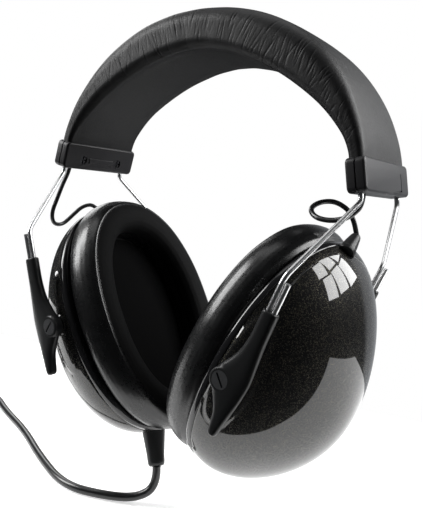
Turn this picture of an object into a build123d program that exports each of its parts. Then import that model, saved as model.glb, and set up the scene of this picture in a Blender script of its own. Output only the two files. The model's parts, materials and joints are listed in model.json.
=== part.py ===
"""Wired closed-back over-ear headphones: a padded band on two spring wires, four slotted arms, two tilting cups.

Millimetres. +Z is up, +X is the wearer's left-to-right line, -Y is the front.
The origin is the head seat: the middle of the underside of the padded band's crown.
Everything on one side is drawn for +X; the other side is its mirror image.
"""

import os
from math import cos, dist, pi, radians, sin, sqrt, tan

from build123d import *

# ---- headband -------------------------------------------------------------------------------------------------
band_width = 47.4
band_end_thickness = 6.0
crown_thickness = 17.6
cover_wall = 1.0
band_edge_radius = 2.8
outer_end_pull = 32.0  # how far the outer line keeps the end's direction before it turns over the head
outer_crown_pull = 46.0
inner_end_pull = 16.0
inner_crown_pull = 31.0

# ---- end blocks -----------------------------------------------------------------------------------------------
block_x = 78.7
block_drop = 49.2  # the head seat's height above the blocks' centres
block_flare = 11.8  # degrees; the blocks' lower ends lean outward
block_length = 50.0
block_height = 13.3
block_thickness = 7.9
block_corner = 1.8
block_edge = 0.6
pocket_depth = 4.0  # how far the band goes into a block
pocket_gap = 0.05
screw_y = 12.5
screw_z = -1.6
screw_shank = 1.1
screw_head = 2.3
screw_head_depth = 1.1
screw_length = 5.6
screw_recess = 0.5
drive_slot = 0.7
groove_line = [(15.5, 2.2), (15.5, -4.6), (-4.0, -block_height / 2)]  # on the outer face, as y and z
groove_width = 0.7
groove_depth = 0.5

# ---- spring wires ---------------------------------------------------------------------------------------------
wire_radius = 1.05
wire_y = 20.5
wire_hole_gap = 0.05
straight_below_block = 3.0
straight_above_block = 2.5
band_bend_offset = 0.7
hairpin_pitch = 2.5  # between the two legs' centre lines
hairpin_easing = 0.02  # what the turn's two arcs leave straight between them
hairpin_insertion = 13.0  # how much of the hairpin is in the sleeve
knee_above_sleeve = 13.5
return_leg_above_sleeve = 11.8
knee_radius = 8.0
shoulder_radius = 4.0

# ---- arms -----------------------------------------------------------------------------------------------------
arm_lean = 20.5  # degrees from upright, tops outward
arm_thickness = 4.6
arm_inner_y = 48.0
arm_edge = 0.42
arm_corner = 1.4
sleeve_top = 33.2  # along the arm from the pivot
sleeve_axis_offset = 6.1  # the sleeve's line is this far outboard of the pivot
sleeve_half_width = 3.2
arm_foot = -21.7
boss_radius = 5.0
slot_gap = 0.08
slot_bottom = 6.5

# ---- pivots ---------------------------------------------------------------------------------------------------
pivot_x = 47.2
pivot_drop = 129.1  # below the head seat
pin_radius = 2.6
pin_head_radius = 3.6
pin_head_thickness = 1.5
pin_slot_width = 0.8
pin_slot_depth = 0.6
pin_slot_length = 5.8
pin_slot_turn = 35.0
pivot_gap = 0.06
pin_root_y = 43.7
pivot_pad_radius = 7.0
pivot_pad_y = 47.7
tilt = {"right": 24.5, "left": 28.0}  # degrees; cups' lower ends inward

# ---- cups -----------------------------------------------------------------------------------------------------
cup_toe = 3.3  # degrees; the faces turn a little to the rear
cup_rake = 3.7  # degrees; the cup leans forward in its own plane
shell_half_height = 58.2
shell_half_width = 46.5
shell_depth = 41.2
shell_wall = 2.4
shell_fullness = 0.467  # share of a quarter curve's handles; 0.552 would be an ellipse
seam_x = -3.3
cup_centre_z = -2.85
apex_drop = 7.9
land_proud = 0.6  # the low raised field on each side of a shell, behind its arm
land_corner = 2.5
land_outline = [
    (-5.0, 27.0),
    (4.5, 26.0),
    (7.2, 14.0),
    (9.4, 2.0),
    (9.6, -6.0),
    (8.2, -15.0),
    (4.5, -24.0),
    (-5.0, -20.0),
]

ring_depth = 3.6
ring_proud = 0.3
ring_half_height = shell_half_height + ring_proud
ring_half_width = shell_half_width + ring_proud
ring_ledge = 1.6
ring_edge_radius = 1.2
spigot_height = 2.5
spigot_inset = 3.6
spigot_wall = 1.6
opening_half_height = 50.0
opening_half_width = 38.5
ledge_width = 3.0

baffle_thickness = ring_depth - ring_ledge
seat_gap = 0.1
driver_hole = 20.5
vent_radius = 2.0
vent_spacing = 31.0
baffle_screw_shank = 0.8
screw_hole_gap = 0.02
baffle_screw_head = 1.3
baffle_screw_head_depth = 0.9
baffle_screw_length = 3.2
baffle_drive_slot = 0.4
baffle_screw_angles = (50, 130, 230, 310)

driver_flange_radius = 23.5
driver_flange_thickness = 1.3
driver_body_radius = 17.0
driver_wall = 1.6
driver_body_depth = 7.0
magnet_radius = 10.5
magnet_depth = 8.0
magnet_seat = 2.0  # how far the magnet starts inside the frame's back wall
voice_gap_inner = 7.2
voice_gap_outer = 9.0
voice_gap_depth = 4.0
voice_coil_radius = 8.3
voice_coil_wall = 0.5
diaphragm_radius = 18.5
diaphragm_thickness = 0.5
diaphragm_forward = 1.2  # how far its face stands before the baffle's back

foam_half_height = 29.0
foam_half_width = 21.0
foam_depth = 9.0
foam_start = 14.0
foam_centre_z = -7.0

board_size = (1.6, 16.0, 12.0)
board_centre = (8.0, 0.0, -36.0)

screen_half_height = 41.7
screen_half_width = 28.5
screen_thickness = 1.5

cushion_hole_half_height = 42.3
cushion_hole_half_width = 29.1
cushion_width = 17.4
cushion_height = 18.5

# ---- leads, main cable and its fittings -----------------------------------------------------------------------
lead_radius = 1.05
lead_hole_y = 17.0
cable_radius = 2.1
coil_bundle = 17.0
coil_mid_radius = 24.0
coil_centre = (-198.0, -11.0)
floor_z = -217.1
tie_width = 9.0
tie_wall = 1.0
plug_body_radius = 4.6
plug_body_length = 24.0
plug_neck_length = 11.0
contact_radius = 1.75
contact_length = 14.0
contact_nose = 3.0
contact_tip_radius = 0.7
neck_wall = 0.7
plug_shoulder = 0.8

lead_relief_inset = 3.6  # how far a lead relief's base is inside the shell's top line
lead_relief_z = shell_half_height - lead_relief_inset
lead_relief_base = {"right": (-0.6, 3.0, lead_relief_z), "left": (-0.6, 6.0, lead_relief_z)}  # in the cups' own frames
cord_relief_overhang = 1.4  # how far the cord relief's base is below the shell's bottom line
cord_relief_base = (1.5, -7.0, -(shell_half_height + cord_relief_overhang))
cord_relief_root_radius = 6.0
cord_relief_neck_radius = 4.0
lead_relief_root_radius = 4.4
lead_relief_neck_radius = 1.9
relief_plug_length = 5.0
relief_sink = 1.5  # how far a relief's wide end sits inside the wall

right_lead_route = [
    (78.7, -17.0, -49.2),
    (80.72, -17.0, -58.89),
    (76.0, -17.7, -65.0),
    (69.0, -17.8, -67.3),
    (61.5, -17.6, -66.8),
    (54.6, -13.8, -63.6),
    (55.6, -5.6, -60.2),
    (62.8, -0.6, -59.6),
    (68.6, 4.4, -64.6),
    (70.0, 6.3, -73.0),
]
right_lead_split = 5
left_lead_route = [
    (-78.7, -17.0, -49.2),
    (-80.44, -17.0, -57.52),
    (-82.3, -18.9, -64.2),
    (-84.4, -20.2, -72.4),
    (-86.4, -21.6, -80.6),
    (-88.0, -18.6, -87.0),
    (-88.6, -11.6, -87.2),
    (-87.0, -6.4, -81.4),
    (-84.8, -1.4, -75.8),
    (-81.4, 4.0, -74.6),
    (-78.6, 6.6, -79.6),
]
left_lead_split = 6
cable_route = [
    (-12.4, -8.0, -198.0),
    (-10.6, -8.6, -207.5),
    (-17.5, -14.6, -214.2),
    (-31.0, -23.0, -215.0),
    (-53.0, -30.5, -215.0),
    (-86.0, -18.0, -215.0),
    (-119.0, -2.0, -215.0),
    (-152.0, 9.0, -215.0),
    (-177.0, 20.5, -215.0),
    (-201.0, 19.0, -215.0),
]
cable_split = 4
tail_route = [
    (-200.0, -42.0, -215.0),
    (-190.5, -42.6, -214.7),
    (-181.0, -42.2, -212.7),
    (-172.0, -41.6, -212.5),
]


beyond = 60.0  # longer than anything that is cut right through


# ---- shared helpers -------------------------------------------------------------------------------------------
def unit(a, b):
    length = dist(a, b)
    return tuple((q - p) / length for p, q in zip(a, b))


def along(a, direction, length):
    return tuple(p + length * d for p, d in zip(a, direction))


def turn_between(a, b, c):
    """The turn at b, in degrees, of the route a, b, c."""
    return Vector(*unit(a, b)).get_angle(Vector(*unit(b, c)))


def cord_radii(points):
    """The largest arc that each corner's two runs leave room for."""
    radii = []
    for a, b, c in zip(points, points[1:], points[2:]):
        shorter = min(dist(a, b), dist(b, c))
        radii.append(0.45 * shorter / tan(radians(turn_between(a, b, c)) / 2))
    return radii


def tube(points, radii, radius):
    """A round rod or cord along straight runs that tangent arcs join."""
    path = FilletPolyline(*points, radius=radii)
    start = Plane(origin=path @ 0, z_dir=path % 0)
    return sweep(start * Circle(radius), path=path), path.length


def checked_tube(name, points, radii, radius):
    """A cord's solid and length, with a printed line that shows whether the solid is whole."""
    solid, length = tube(points, radii, radius)
    share = solid.volume / (pi * radius**2 * length)
    print(f"{name}: length {length:.1f}, volume share {share:.4f}, tightest arc {min(radii):.1f}")
    return solid, length


def split_cord(name, points, split, radius):
    """Two solids that meet at the middle of the run before the point numbered split."""
    radii = cord_radii(points)
    checked_tube(name, points, radii, radius)
    middle = tuple((p + q) / 2 for p, q in zip(points[split - 1], points[split]))
    first, _ = checked_tube(f"{name} first", points[:split] + [middle], radii[: split - 1], radius)
    second, _ = checked_tube(f"{name} second", [middle] + points[split:], radii[split - 1 :], radius)
    return first, second


def cone_between(start, end, start_radius, end_radius):
    length = dist(start, end)
    plane = Plane(origin=start, z_dir=unit(start, end))
    return plane * Pos(0, 0, length / 2) * Cone(start_radius, end_radius, length)


def rod_between(start, end, radius):
    length = dist(start, end)
    plane = Plane(origin=start, z_dir=unit(start, end))
    return plane * Pos(0, 0, length / 2) * Cylinder(radius, length)


def mirrored(points):
    return [(-x, y, z) for x, y, z in points]


def sided(shape, side):
    return shape if side == "right" else mirror(shape, about=Plane.YZ)


# ---- placing --------------------------------------------------------------------------------------------------
block_place = Pos(block_x, 0, -block_drop) * Rot(0, -block_flare, 0)
cup_skew = Rot(0, 0, -cup_toe) * Rot(cup_rake, 0, 0)


def pivot_place(side):
    return Pos(pivot_x, 0, -pivot_drop) * Rot(0, tilt[side], 0)


def cup_point(side, point):
    """A point of the cup's own frame, in the frame of the whole object."""
    place = pivot_place(side) * cup_skew
    x, y, z = (place * Pos(*point)).position
    return (x if side == "right" else -x, y, z)


def block_point(x, y, z):
    return tuple((block_place * Pos(x, y, z)).position)


def arm_point(along_arm, outboard, y):
    """A point given along the arm from the pivot, and square to it."""
    a = radians(arm_lean)
    return (
        pivot_x + along_arm * sin(a) + outboard * cos(a),
        y,
        -pivot_drop + along_arm * cos(a) - outboard * sin(a),
    )


# ---- headband -------------------------------------------------------------------------------------------------
band_foot_z = block_height / 2 - pocket_depth
band_bend_z = block_height / 2 + 0.5


def band_line(half_thickness, crown_z, end_pull, crown_pull):
    """One long line of the band's side view, from the foot in the block to the crown, as edges and its corners."""
    foot = block_point(half_thickness, 0, band_foot_z)
    bend = block_point(half_thickness, 0, band_bend_z)
    lift = unit(foot, bend)
    handle = along(bend, lift, end_pull)
    corners = [(p[0], p[2]) for p in (foot, bend, handle)] + [(crown_pull, crown_z), (0, crown_z)]
    return corners


def band_solid(inset):
    """The band's solid, drawn in by an inset on every long face."""
    half = band_end_thickness / 2 - inset
    outer = band_line(half, crown_thickness - inset, outer_end_pull, outer_crown_pull)
    inner = band_line(-half, inset, inner_end_pull, inner_crown_pull)
    edges = []
    for way in (1, -1):
        for line in (outer, inner):
            points = [(way * x, z) for x, z in line]
            edges.append(Line(points[0], points[1]))
            edges.append(Bezier(*points[1:]))
        edges.append(Line((way * outer[0][0], outer[0][1]), (way * inner[0][0], inner[0][1])))
    face = make_face(Plane.XZ * Curve(edges))
    width = band_width - 2 * inset
    body = extrude(face, width / 2, both=True)
    long_edges = [e for e in body.edges() if abs(abs(e.center().Y) - width / 2) < 1e-3]
    ends = [e for e in long_edges if e.length < 1.1 * band_end_thickness]
    rolled = [e for e in long_edges if e not in ends]
    return fillet(rolled, band_edge_radius - inset)


def band_middle(share):
    """A point on the band's middle surface; share runs from 0 at the block to 1 at the crown."""
    half = band_end_thickness / 2
    lines = (
        band_line(half, crown_thickness, outer_end_pull, outer_crown_pull)[1:],
        band_line(-half, 0, inner_end_pull, inner_crown_pull)[1:],
    )
    a, b = 1 - share, share
    weights = (a**3, 3 * a * a * b, 3 * a * b * b, b**3)
    points = [[sum(w * p[k] for w, p in zip(weights, line)) for k in (0, 1)] for line in lines]
    x, z = [(points[0][k] + points[1][k]) / 2 for k in (0, 1)]
    reach = sqrt(x * x + (z + block_drop) ** 2)
    push = band_bend_offset / reach
    return x * (1 + push), z + (z + block_drop) * push


band_shares = (0.16, 0.34, 0.52, 0.7, 0.9)


def band_run(y):
    """Corners of a line in the band from the right block to the left one, at one distance from the front."""
    right = [(x, y, z) for x, z in (band_middle(s) for s in band_shares)]
    return right + mirrored(reversed(right))


def make_band_pieces():
    cover_outside = band_solid(0)
    cover_inside = band_solid(cover_wall)
    ends = [block_point(0, -lead_hole_y, band_foot_z)]
    crossover_points = ends + band_run(-lead_hole_y) + mirrored(ends)
    crossover, crossover_length = tube(crossover_points, cord_radii(crossover_points), lead_radius)
    return cover_outside - cover_inside, cover_inside, crossover, crossover_length


# ---- spring wires ---------------------------------------------------------------------------------------------
def spring_wire(y_way):
    """One wire: hairpin in the left sleeve, knee, block, over the head, and the same on the right."""
    arm_y = y_way * (arm_inner_y + arm_thickness / 2)
    block_y = y_way * wire_y
    inner_leg = sleeve_axis_offset - hairpin_pitch / 2
    outer_leg = sleeve_axis_offset + hairpin_pitch / 2
    turn_at = sleeve_top - hairpin_insertion
    half = [
        arm_point(sleeve_top + return_leg_above_sleeve, outer_leg, arm_y),
        arm_point(turn_at, outer_leg, arm_y),
        arm_point(turn_at, inner_leg, arm_y),
        arm_point(sleeve_top + knee_above_sleeve, inner_leg, arm_y),
        block_point(0, block_y, -block_height / 2 - straight_below_block),
    ]
    turn_radius = hairpin_pitch / 2 - hairpin_easing
    half_radii = [turn_radius, turn_radius, knee_radius, shoulder_radius]
    middle = band_run(block_y)
    above_block = block_point(0, block_y, block_height / 2 + straight_above_block)
    middle = [above_block] + middle + mirrored([above_block])
    around = [half[-1]] + middle + mirrored([half[-1]])
    middle_radii = cord_radii(around)
    bend = radians(turn_between(half[-1], above_block, middle[1])) / 2
    middle_radii[0] = straight_above_block / tan(bend)
    middle_radii[-1] = middle_radii[0]
    points = half + middle + mirrored(reversed(half))
    radii = half_radii + middle_radii + half_radii[::-1]
    wire, _ = tube(points, radii, wire_radius)
    return wire


# ---- end blocks -----------------------------------------------------------------------------------------------
def screw_blank(shank, head, head_depth, length):
    """A screw along +Z without its drive, its head's top at the origin and its point at -length."""
    body = Pos(0, 0, -head_depth / 2) * Cone(shank, head, head_depth)
    return body + Pos(0, 0, -(head_depth + length) / 2) * Cylinder(shank, length - head_depth)


def cross_drive(head, slot):
    return Pos(0, 0, -slot / 2) * (Box(2 * head, slot, slot) + Box(slot, 2 * head, slot))


def make_block():
    """A block's outer and inner half and its two screws, on the right."""
    body = Box(block_thickness, block_length, block_height)
    body = fillet(body.edges().filter_by(Axis.Z), block_corner)
    body = fillet(body.edges().group_by(Axis.Z)[-1] + body.edges().group_by(Axis.Z)[0], block_edge)
    pocket = Pos(0, 0, block_height / 2 - pocket_depth / 2) * Box(
        band_end_thickness + 2 * pocket_gap, band_width + 2 * pocket_gap, pocket_depth
    )
    body -= pocket
    for y in (wire_y, -wire_y):
        body -= Pos(0, y, 0) * Cylinder(wire_radius + wire_hole_gap, 2 * block_height)
    body -= Pos(0, -lead_hole_y, 0) * Cylinder(lead_radius + wire_hole_gap, 2 * block_height)
    for a, b in zip(groove_line, groove_line[1:]):
        middle = ((a[0] + b[0]) / 2, (a[1] + b[1]) / 2)
        run = Vector(0, b[0] - a[0], b[1] - a[1])
        plane = Plane(origin=(block_thickness / 2, *middle), x_dir=run, z_dir=(1, 0, 0))
        body -= plane * Box(run.length + groove_width, groove_width, 2 * groove_depth)
    screws = []
    face_x = -block_thickness / 2
    for y in (screw_y, -screw_y):
        seat = Plane(origin=(face_x + screw_recess, y, screw_z), z_dir=(-1, 0, 0))
        blank = screw_blank(screw_shank, screw_head, screw_head_depth, screw_length)
        body -= seat * (blank + Pos(0, 0, screw_recess) * Cylinder(screw_head, 2 * screw_recess))
        screws.append(seat * (blank - cross_drive(screw_head, drive_slot)))
    halves = []
    for way in (1, -1):
        keep = Pos(way * block_thickness / 2, 0, 0) * Box(block_thickness, 2 * block_length, 2 * block_height)
        halves.append(block_place * (body & keep))
    return halves[0], halves[1], [block_place * s for s in screws]


# ---- arms and pivots ------------------------------------------------------------------------------------------
def make_arm():
    """The right front arm: a tapered plastic bar with a boss for the pivot and an oval bore for the hairpin."""
    q = sleeve_axis_offset
    w = sleeve_half_width
    outline = [
        (q - w, sleeve_top),
        (q + w, sleeve_top),
        (q + w + 0.4, 18.0),
        (11.2, 4.0),
        (10.2, -4.0),
        (7.6, arm_foot),
        (3.8, arm_foot),
        (2.0, -12.0),
        (-3.4, -4.4),
        (-boss_radius, 0.0),
        (-3.8, 4.4),
        (-0.4, 9.5),
        (q - w, 20.0),
    ]
    face = make_face(Polyline(*outline, close=True))
    softened = [v for v in face.vertices() if v.Y < sleeve_top - arm_corner]
    face = fillet(softened, arm_corner)
    bar = extrude(face, arm_thickness / 2, both=True)
    bar += Cylinder(boss_radius, arm_thickness)
    rim = [e for e in bar.edges() if abs(abs(e.center().Z) - arm_thickness / 2) < 1e-3]
    bar = chamfer(rim, arm_edge)
    depth = sleeve_top - slot_bottom
    slot = SlotCenterToCenter(hairpin_pitch, 2 * (wire_radius + slot_gap))
    bore = Plane(origin=(q, sleeve_top - depth, 0), x_dir=(1, 0, 0), z_dir=(0, 1, 0)) * slot
    bar -= extrude(bore, 2 * depth)
    bar -= Cylinder(pin_radius + pivot_gap, 2 * arm_thickness)
    head_space = pin_head_thickness + pivot_gap
    bar -= Pos(0, 0, arm_thickness / 2) * Cylinder(pin_head_radius + pivot_gap, 2 * head_space)
    # the drawing's X is outboard, its Y is up the arm and its Z is the front face
    place = Plane(
        origin=(pivot_x, -(arm_inner_y + arm_thickness / 2), -pivot_drop),
        x_dir=(cos(radians(arm_lean)), 0, -sin(radians(arm_lean))),
        z_dir=(0, -1, 0),
    )
    return place * bar


def make_pins():
    """Both slotted pivot pins of a cup, in the pivot's frame."""
    face_y = arm_inner_y + arm_thickness
    shank_end = face_y - pin_head_thickness
    shank = rod_between((0, -pin_root_y, 0), (0, -shank_end, 0), pin_radius)
    head = rod_between((0, -shank_end, 0), (0, -face_y, 0), pin_head_radius)
    slot = Box(pin_slot_length, 2 * pin_slot_depth, pin_slot_width)
    slot = Pos(0, -face_y, 0) * Rot(0, pin_slot_turn, 0) * slot
    front = shank + head - slot
    return [front, mirror(front, about=Plane.XZ)]


# ---- cups -----------------------------------------------------------------------------------------------------
def oval(half_height, half_width, x, depth):
    """An oval plate square to the cup's axis; a negative depth goes toward the ear."""
    plane = Plane(origin=(x, 0, cup_centre_z), x_dir=(0, 1, 0), z_dir=(1, 0, 0))
    return extrude(plane * Ellipse(half_width, half_height), depth)


def dome(inset, skirt):
    """The shell's solid bowl, drawn in by an inset; the skirt carries it on past the seam toward the ear."""
    height = shell_half_height - inset
    width = shell_half_width - inset
    depth = shell_depth - inset
    k = shell_fullness
    crest = Bezier((0, height), (k * depth, height), (depth, k * height), (depth, 0))
    rest = Polyline((depth, 0), (-skirt, 0), (-skirt, height), (0, height))
    bowl = revolve(make_face(Curve([crest] + list(rest.edges()))), Axis.X)
    squash_and_drop = Matrix(
        [
            [1, 0, 0, seam_x],
            [0, width / height, 0, 0],
            [-apex_drop / shell_depth, 0, 1, cup_centre_z],
            [0, 0, 0, 1],
        ]
    )
    return bowl.transform_geometry(squash_and_drop)


def arm_land():
    """The outline of the low field on a shell's side that its arm swings over."""
    outline = Polyline(*land_outline, close=True)
    face = make_face(outline)
    return fillet(face.vertices(), land_corner)


def make_shell(side, reliefs):
    """A shell in the pivot's frame: the bowl, its pivot pads with pin holes, and the openings for the reliefs."""
    skirt = 1.0
    outside = dome(0, skirt)
    trim = Pos(seam_x - beyond, 0, 0) * Box(2 * beyond, 4 * beyond, 4 * beyond)
    shell = cup_skew * ((outside - trim) - dome(shell_wall, 2 * skirt))
    inner_guard = cup_skew * dome(shell_wall, 2 * skirt)
    raised_bowl = cup_skew * dome(-land_proud, skirt)
    for way in (-1, 1):
        pad = rod_between((0, way * pin_root_y, 0), (0, way * pivot_pad_y, 0), pivot_pad_radius)
        column = extrude(Pos(0, way * beyond / 2, 0) * (Plane.XZ * arm_land()), -way * beyond / 2)
        field = column & raised_bowl
        shell += (field - inner_guard + pad) - cup_skew * trim
        shell -= rod_between((0, way * pin_root_y, 0), (0, way * beyond, 0), pin_radius)
    shell = pivot_place(side) * shell
    for relief in reliefs:
        shell -= relief
    return shell


def make_ring(side, reliefs):
    ring = oval(ring_half_height, ring_half_width, seam_x, -ring_depth)
    rim = ring.edges().group_by(Axis.X)[0]
    ring = fillet(rim, ring_edge_radius)
    spigot_height_out = shell_half_height - spigot_inset
    spigot_width_out = shell_half_width - spigot_inset
    ring += oval(spigot_height_out, spigot_width_out, seam_x, spigot_height)
    ring -= oval(opening_half_height, opening_half_width, seam_x - ring_ledge, -ring_depth)
    ring -= oval(opening_half_height - ledge_width, opening_half_width - ledge_width, beyond / 2, -beyond)
    ring -= oval(spigot_height_out - spigot_wall, spigot_width_out - spigot_wall, seam_x, 2 * spigot_height)
    for y, z in baffle_screw_places():
        ring -= Pos(0, y, z) * Rot(0, 90, 0) * Cylinder(baffle_screw_shank + screw_hole_gap, beyond)
    ring = cup_skew * ring - rod_between((0, -pivot_pad_y, 0), (0, pivot_pad_y, 0), pin_radius)
    ring = pivot_place(side) * ring
    for relief in reliefs:
        ring -= relief
    return ring


def baffle_screw_places():
    height = opening_half_height - ledge_width / 2
    width = opening_half_width - ledge_width / 2
    places = []
    for angle in baffle_screw_angles:
        a = radians(angle)
        places.append((width * cos(a), cup_centre_z + height * sin(a)))
    return places


def make_baffle():
    """The plate that carries the driver, and its four screws, in the cup's frame."""
    front_x = seam_x - ring_depth
    plate = oval(opening_half_height - seat_gap, opening_half_width - seat_gap, front_x, baffle_thickness)
    axis_hole = Pos(0, 0, cup_centre_z) * Rot(0, 90, 0) * Cylinder(driver_hole, beyond)
    plate -= axis_hole
    for way in (1, -1):
        plate -= Pos(0, 0, cup_centre_z + way * vent_spacing) * Rot(0, 90, 0) * Cylinder(vent_radius, beyond)
    screws = []
    for y, z in baffle_screw_places():
        seat = Plane(origin=(front_x, y, z), z_dir=(-1, 0, 0))
        blank = screw_blank(baffle_screw_shank, baffle_screw_head, baffle_screw_head_depth, baffle_screw_length)
        plate -= seat * blank
        screws.append(seat * (blank - cross_drive(baffle_screw_head, baffle_drive_slot)))
    return plate, screws


def disc(x, depth, radius):
    return Pos(x + depth / 2, 0, cup_centre_z) * Rot(0, 90, 0) * Cylinder(radius, depth)


def make_driver():
    """Driver frame, magnet and diaphragm with its voice coil, in the cup's frame."""
    back_x = seam_x - ring_ledge
    frame = disc(back_x, driver_flange_thickness, driver_flange_radius)
    frame += disc(back_x, driver_body_depth, driver_body_radius)
    frame -= disc(back_x - 1, driver_body_depth + 1 - driver_wall, driver_body_radius - driver_wall)
    frame -= disc(back_x - 1, beyond, magnet_radius)
    magnet_x = back_x + driver_body_depth - driver_wall - magnet_seat
    magnet = disc(magnet_x, magnet_depth, magnet_radius)
    groove = disc(magnet_x - 1, voice_gap_depth + 1, voice_gap_outer)
    groove -= disc(magnet_x - 1, voice_gap_depth + 1, voice_gap_inner)
    magnet -= groove
    diaphragm_x = back_x - diaphragm_forward
    diaphragm = disc(diaphragm_x, diaphragm_thickness, diaphragm_radius)
    coil_length = magnet_x + voice_gap_depth / 2 - diaphragm_x
    coil = disc(diaphragm_x, coil_length, voice_coil_radius)
    coil -= disc(diaphragm_x + diaphragm_thickness, coil_length, voice_coil_radius - voice_coil_wall)
    return frame, magnet, diaphragm + coil


def make_cushion():
    """The ear cushion: one rounded section carried round the oval ear opening."""
    w, h = cushion_width, cushion_height
    section = [
        Polyline((0.9, 0), (w - 2.9, 0)),
        ThreePointArc((w - 2.9, 0), (w, 0.34 * h), (w - 2.2, 0.7 * h)),
        ThreePointArc((w - 2.2, 0.7 * h), (w - 5.4, 0.93 * h), (0.42 * w, h)),
        ThreePointArc((0.42 * w, h), (1.5, 0.93 * h), (0, 0.74 * h)),
        Polyline((0, 0.74 * h), (0, 0.9), (0.9, 0)),
    ]
    path_plane = Plane(origin=(seam_x - ring_depth, 0, cup_centre_z), x_dir=(0, 1, 0), z_dir=(1, 0, 0))
    path = path_plane * Ellipse(cushion_hole_half_width, cushion_hole_half_height).edge()
    start = Plane(
        origin=(seam_x - ring_depth, cushion_hole_half_width, cup_centre_z),
        x_dir=(0, 1, 0),
        z_dir=(0, 0, 1),
    )
    # the section's X is away from the opening and its Y is toward the ear
    face = make_face(Curve([e for part in section for e in part.edges()]))
    face = start * face
    return sweep(face, path=path)


def make_relief(base, tip, root_radius, neck_radius):
    """A tapered sleeve from a point on a cup's rim to the cord, with a short plug through the wall."""
    inward = unit(tip, base)
    flare_end = along(base, inward, relief_sink)
    body = cone_between(flare_end, tip, root_radius, neck_radius)
    return body + rod_between(flare_end, along(flare_end, inward, relief_plug_length), neck_radius)


# ---- put-away coil and plug -----------------------------------------------------------------------------------
def make_coil():
    x, y = coil_centre
    section = Pos(coil_mid_radius, 0) * Rectangle(coil_bundle, coil_bundle)
    section = fillet(section.vertices(), 0.35 * coil_bundle)
    ring = revolve(Plane.XZ * section, Axis.Z)
    return Pos(x, y, floor_z + coil_bundle / 2) * ring


def make_tie():
    """A flat strap round the coil's bundle, on its far side from the cable's exit."""
    x, y = coil_centre
    outer = Rectangle(coil_bundle + 2 * tie_wall, coil_bundle + tie_wall)
    outer = fillet(outer.vertices(), 0.3 * coil_bundle)
    inner = Rectangle(coil_bundle + 0.1, coil_bundle + 0.1)
    loop = extrude(Plane.XZ * Pos(0, tie_wall / 2) * outer, tie_width / 2, both=True)
    loop = Pos(x - coil_mid_radius, y, floor_z + coil_bundle / 2) * loop
    return loop - make_coil()


def make_plug():
    """Handle with a tapered neck, and the contact, in line with the cable's tail."""
    tail_end = tail_route[-1]
    heading = unit(tail_route[-2], tail_end)
    neck_end = along(tail_end, heading, plug_neck_length)
    body_end = along(neck_end, heading, plug_body_length)
    neck = cone_between(tail_end, neck_end, cable_radius + neck_wall, plug_body_radius - plug_shoulder)
    handle = rod_between(neck_end, body_end, plug_body_radius)
    shaft_end = along(body_end, heading, contact_length - contact_nose)
    contact_tip = along(body_end, heading, contact_length)
    shaft = rod_between(body_end, shaft_end, contact_radius)
    nose = cone_between(shaft_end, contact_tip, contact_radius, contact_tip_radius)
    return neck + handle, shaft + nose


# ---- assembly -------------------------------------------------------------------------------------------------
def cup_pieces(side):
    """All the nodes of one cup, in the object's frame."""
    lead_end = right_lead_route[-1] if side == "right" else left_lead_route[-1]
    lead_base = cup_point(side, lead_relief_base[side])
    top_relief = make_relief(lead_base, lead_end, lead_relief_root_radius, lead_relief_neck_radius)
    reliefs = {f"{side}_lead_relief": top_relief}
    if side == "left":
        cord_base = cup_point(side, cord_relief_base)
        reliefs["left_cord_relief"] = make_relief(
            cord_base, cable_route[0], cord_relief_root_radius, cord_relief_neck_radius
        )
    # the shell and ring are drawn on the right and mirrored, so their reliefs are mirrored to the right first
    cutters = [sided(r, side) for r in reliefs.values()]
    place = pivot_place(side) * cup_skew
    plate, screws = make_baffle()
    frame, magnet, diaphragm = make_driver()
    screen = oval(screen_half_height, screen_half_width, seam_x - ring_depth, -screen_thickness)
    foam = Pos(0, 0, foam_centre_z - cup_centre_z) * oval(foam_half_height, foam_half_width, foam_start, foam_depth)
    pieces = {
        "shell": make_shell(side, cutters),
        "flange_ring": make_ring(side, cutters),
        "baffle": place * plate,
        "baffle_screws": [place * s for s in screws],
        "driver_frame": place * frame,
        "driver_magnet": place * magnet,
        "diaphragm": place * diaphragm,
        "acoustic_screen": place * screen,
        "damping_foam": place * foam,
        "ear_cushion": place * make_cushion(),
        "pivot_pins": [pivot_place(side) * p for p in make_pins()],
    }
    if side == "left":
        pieces["junction_board"] = place * Pos(*board_centre) * Box(*board_size)
    nodes = dict(reliefs)
    for name, made in pieces.items():
        group = made if isinstance(made, list) else [made]
        nodes[f"{side}_{name}"] = [sided(s, side) for s in group]
    return nodes


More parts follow.
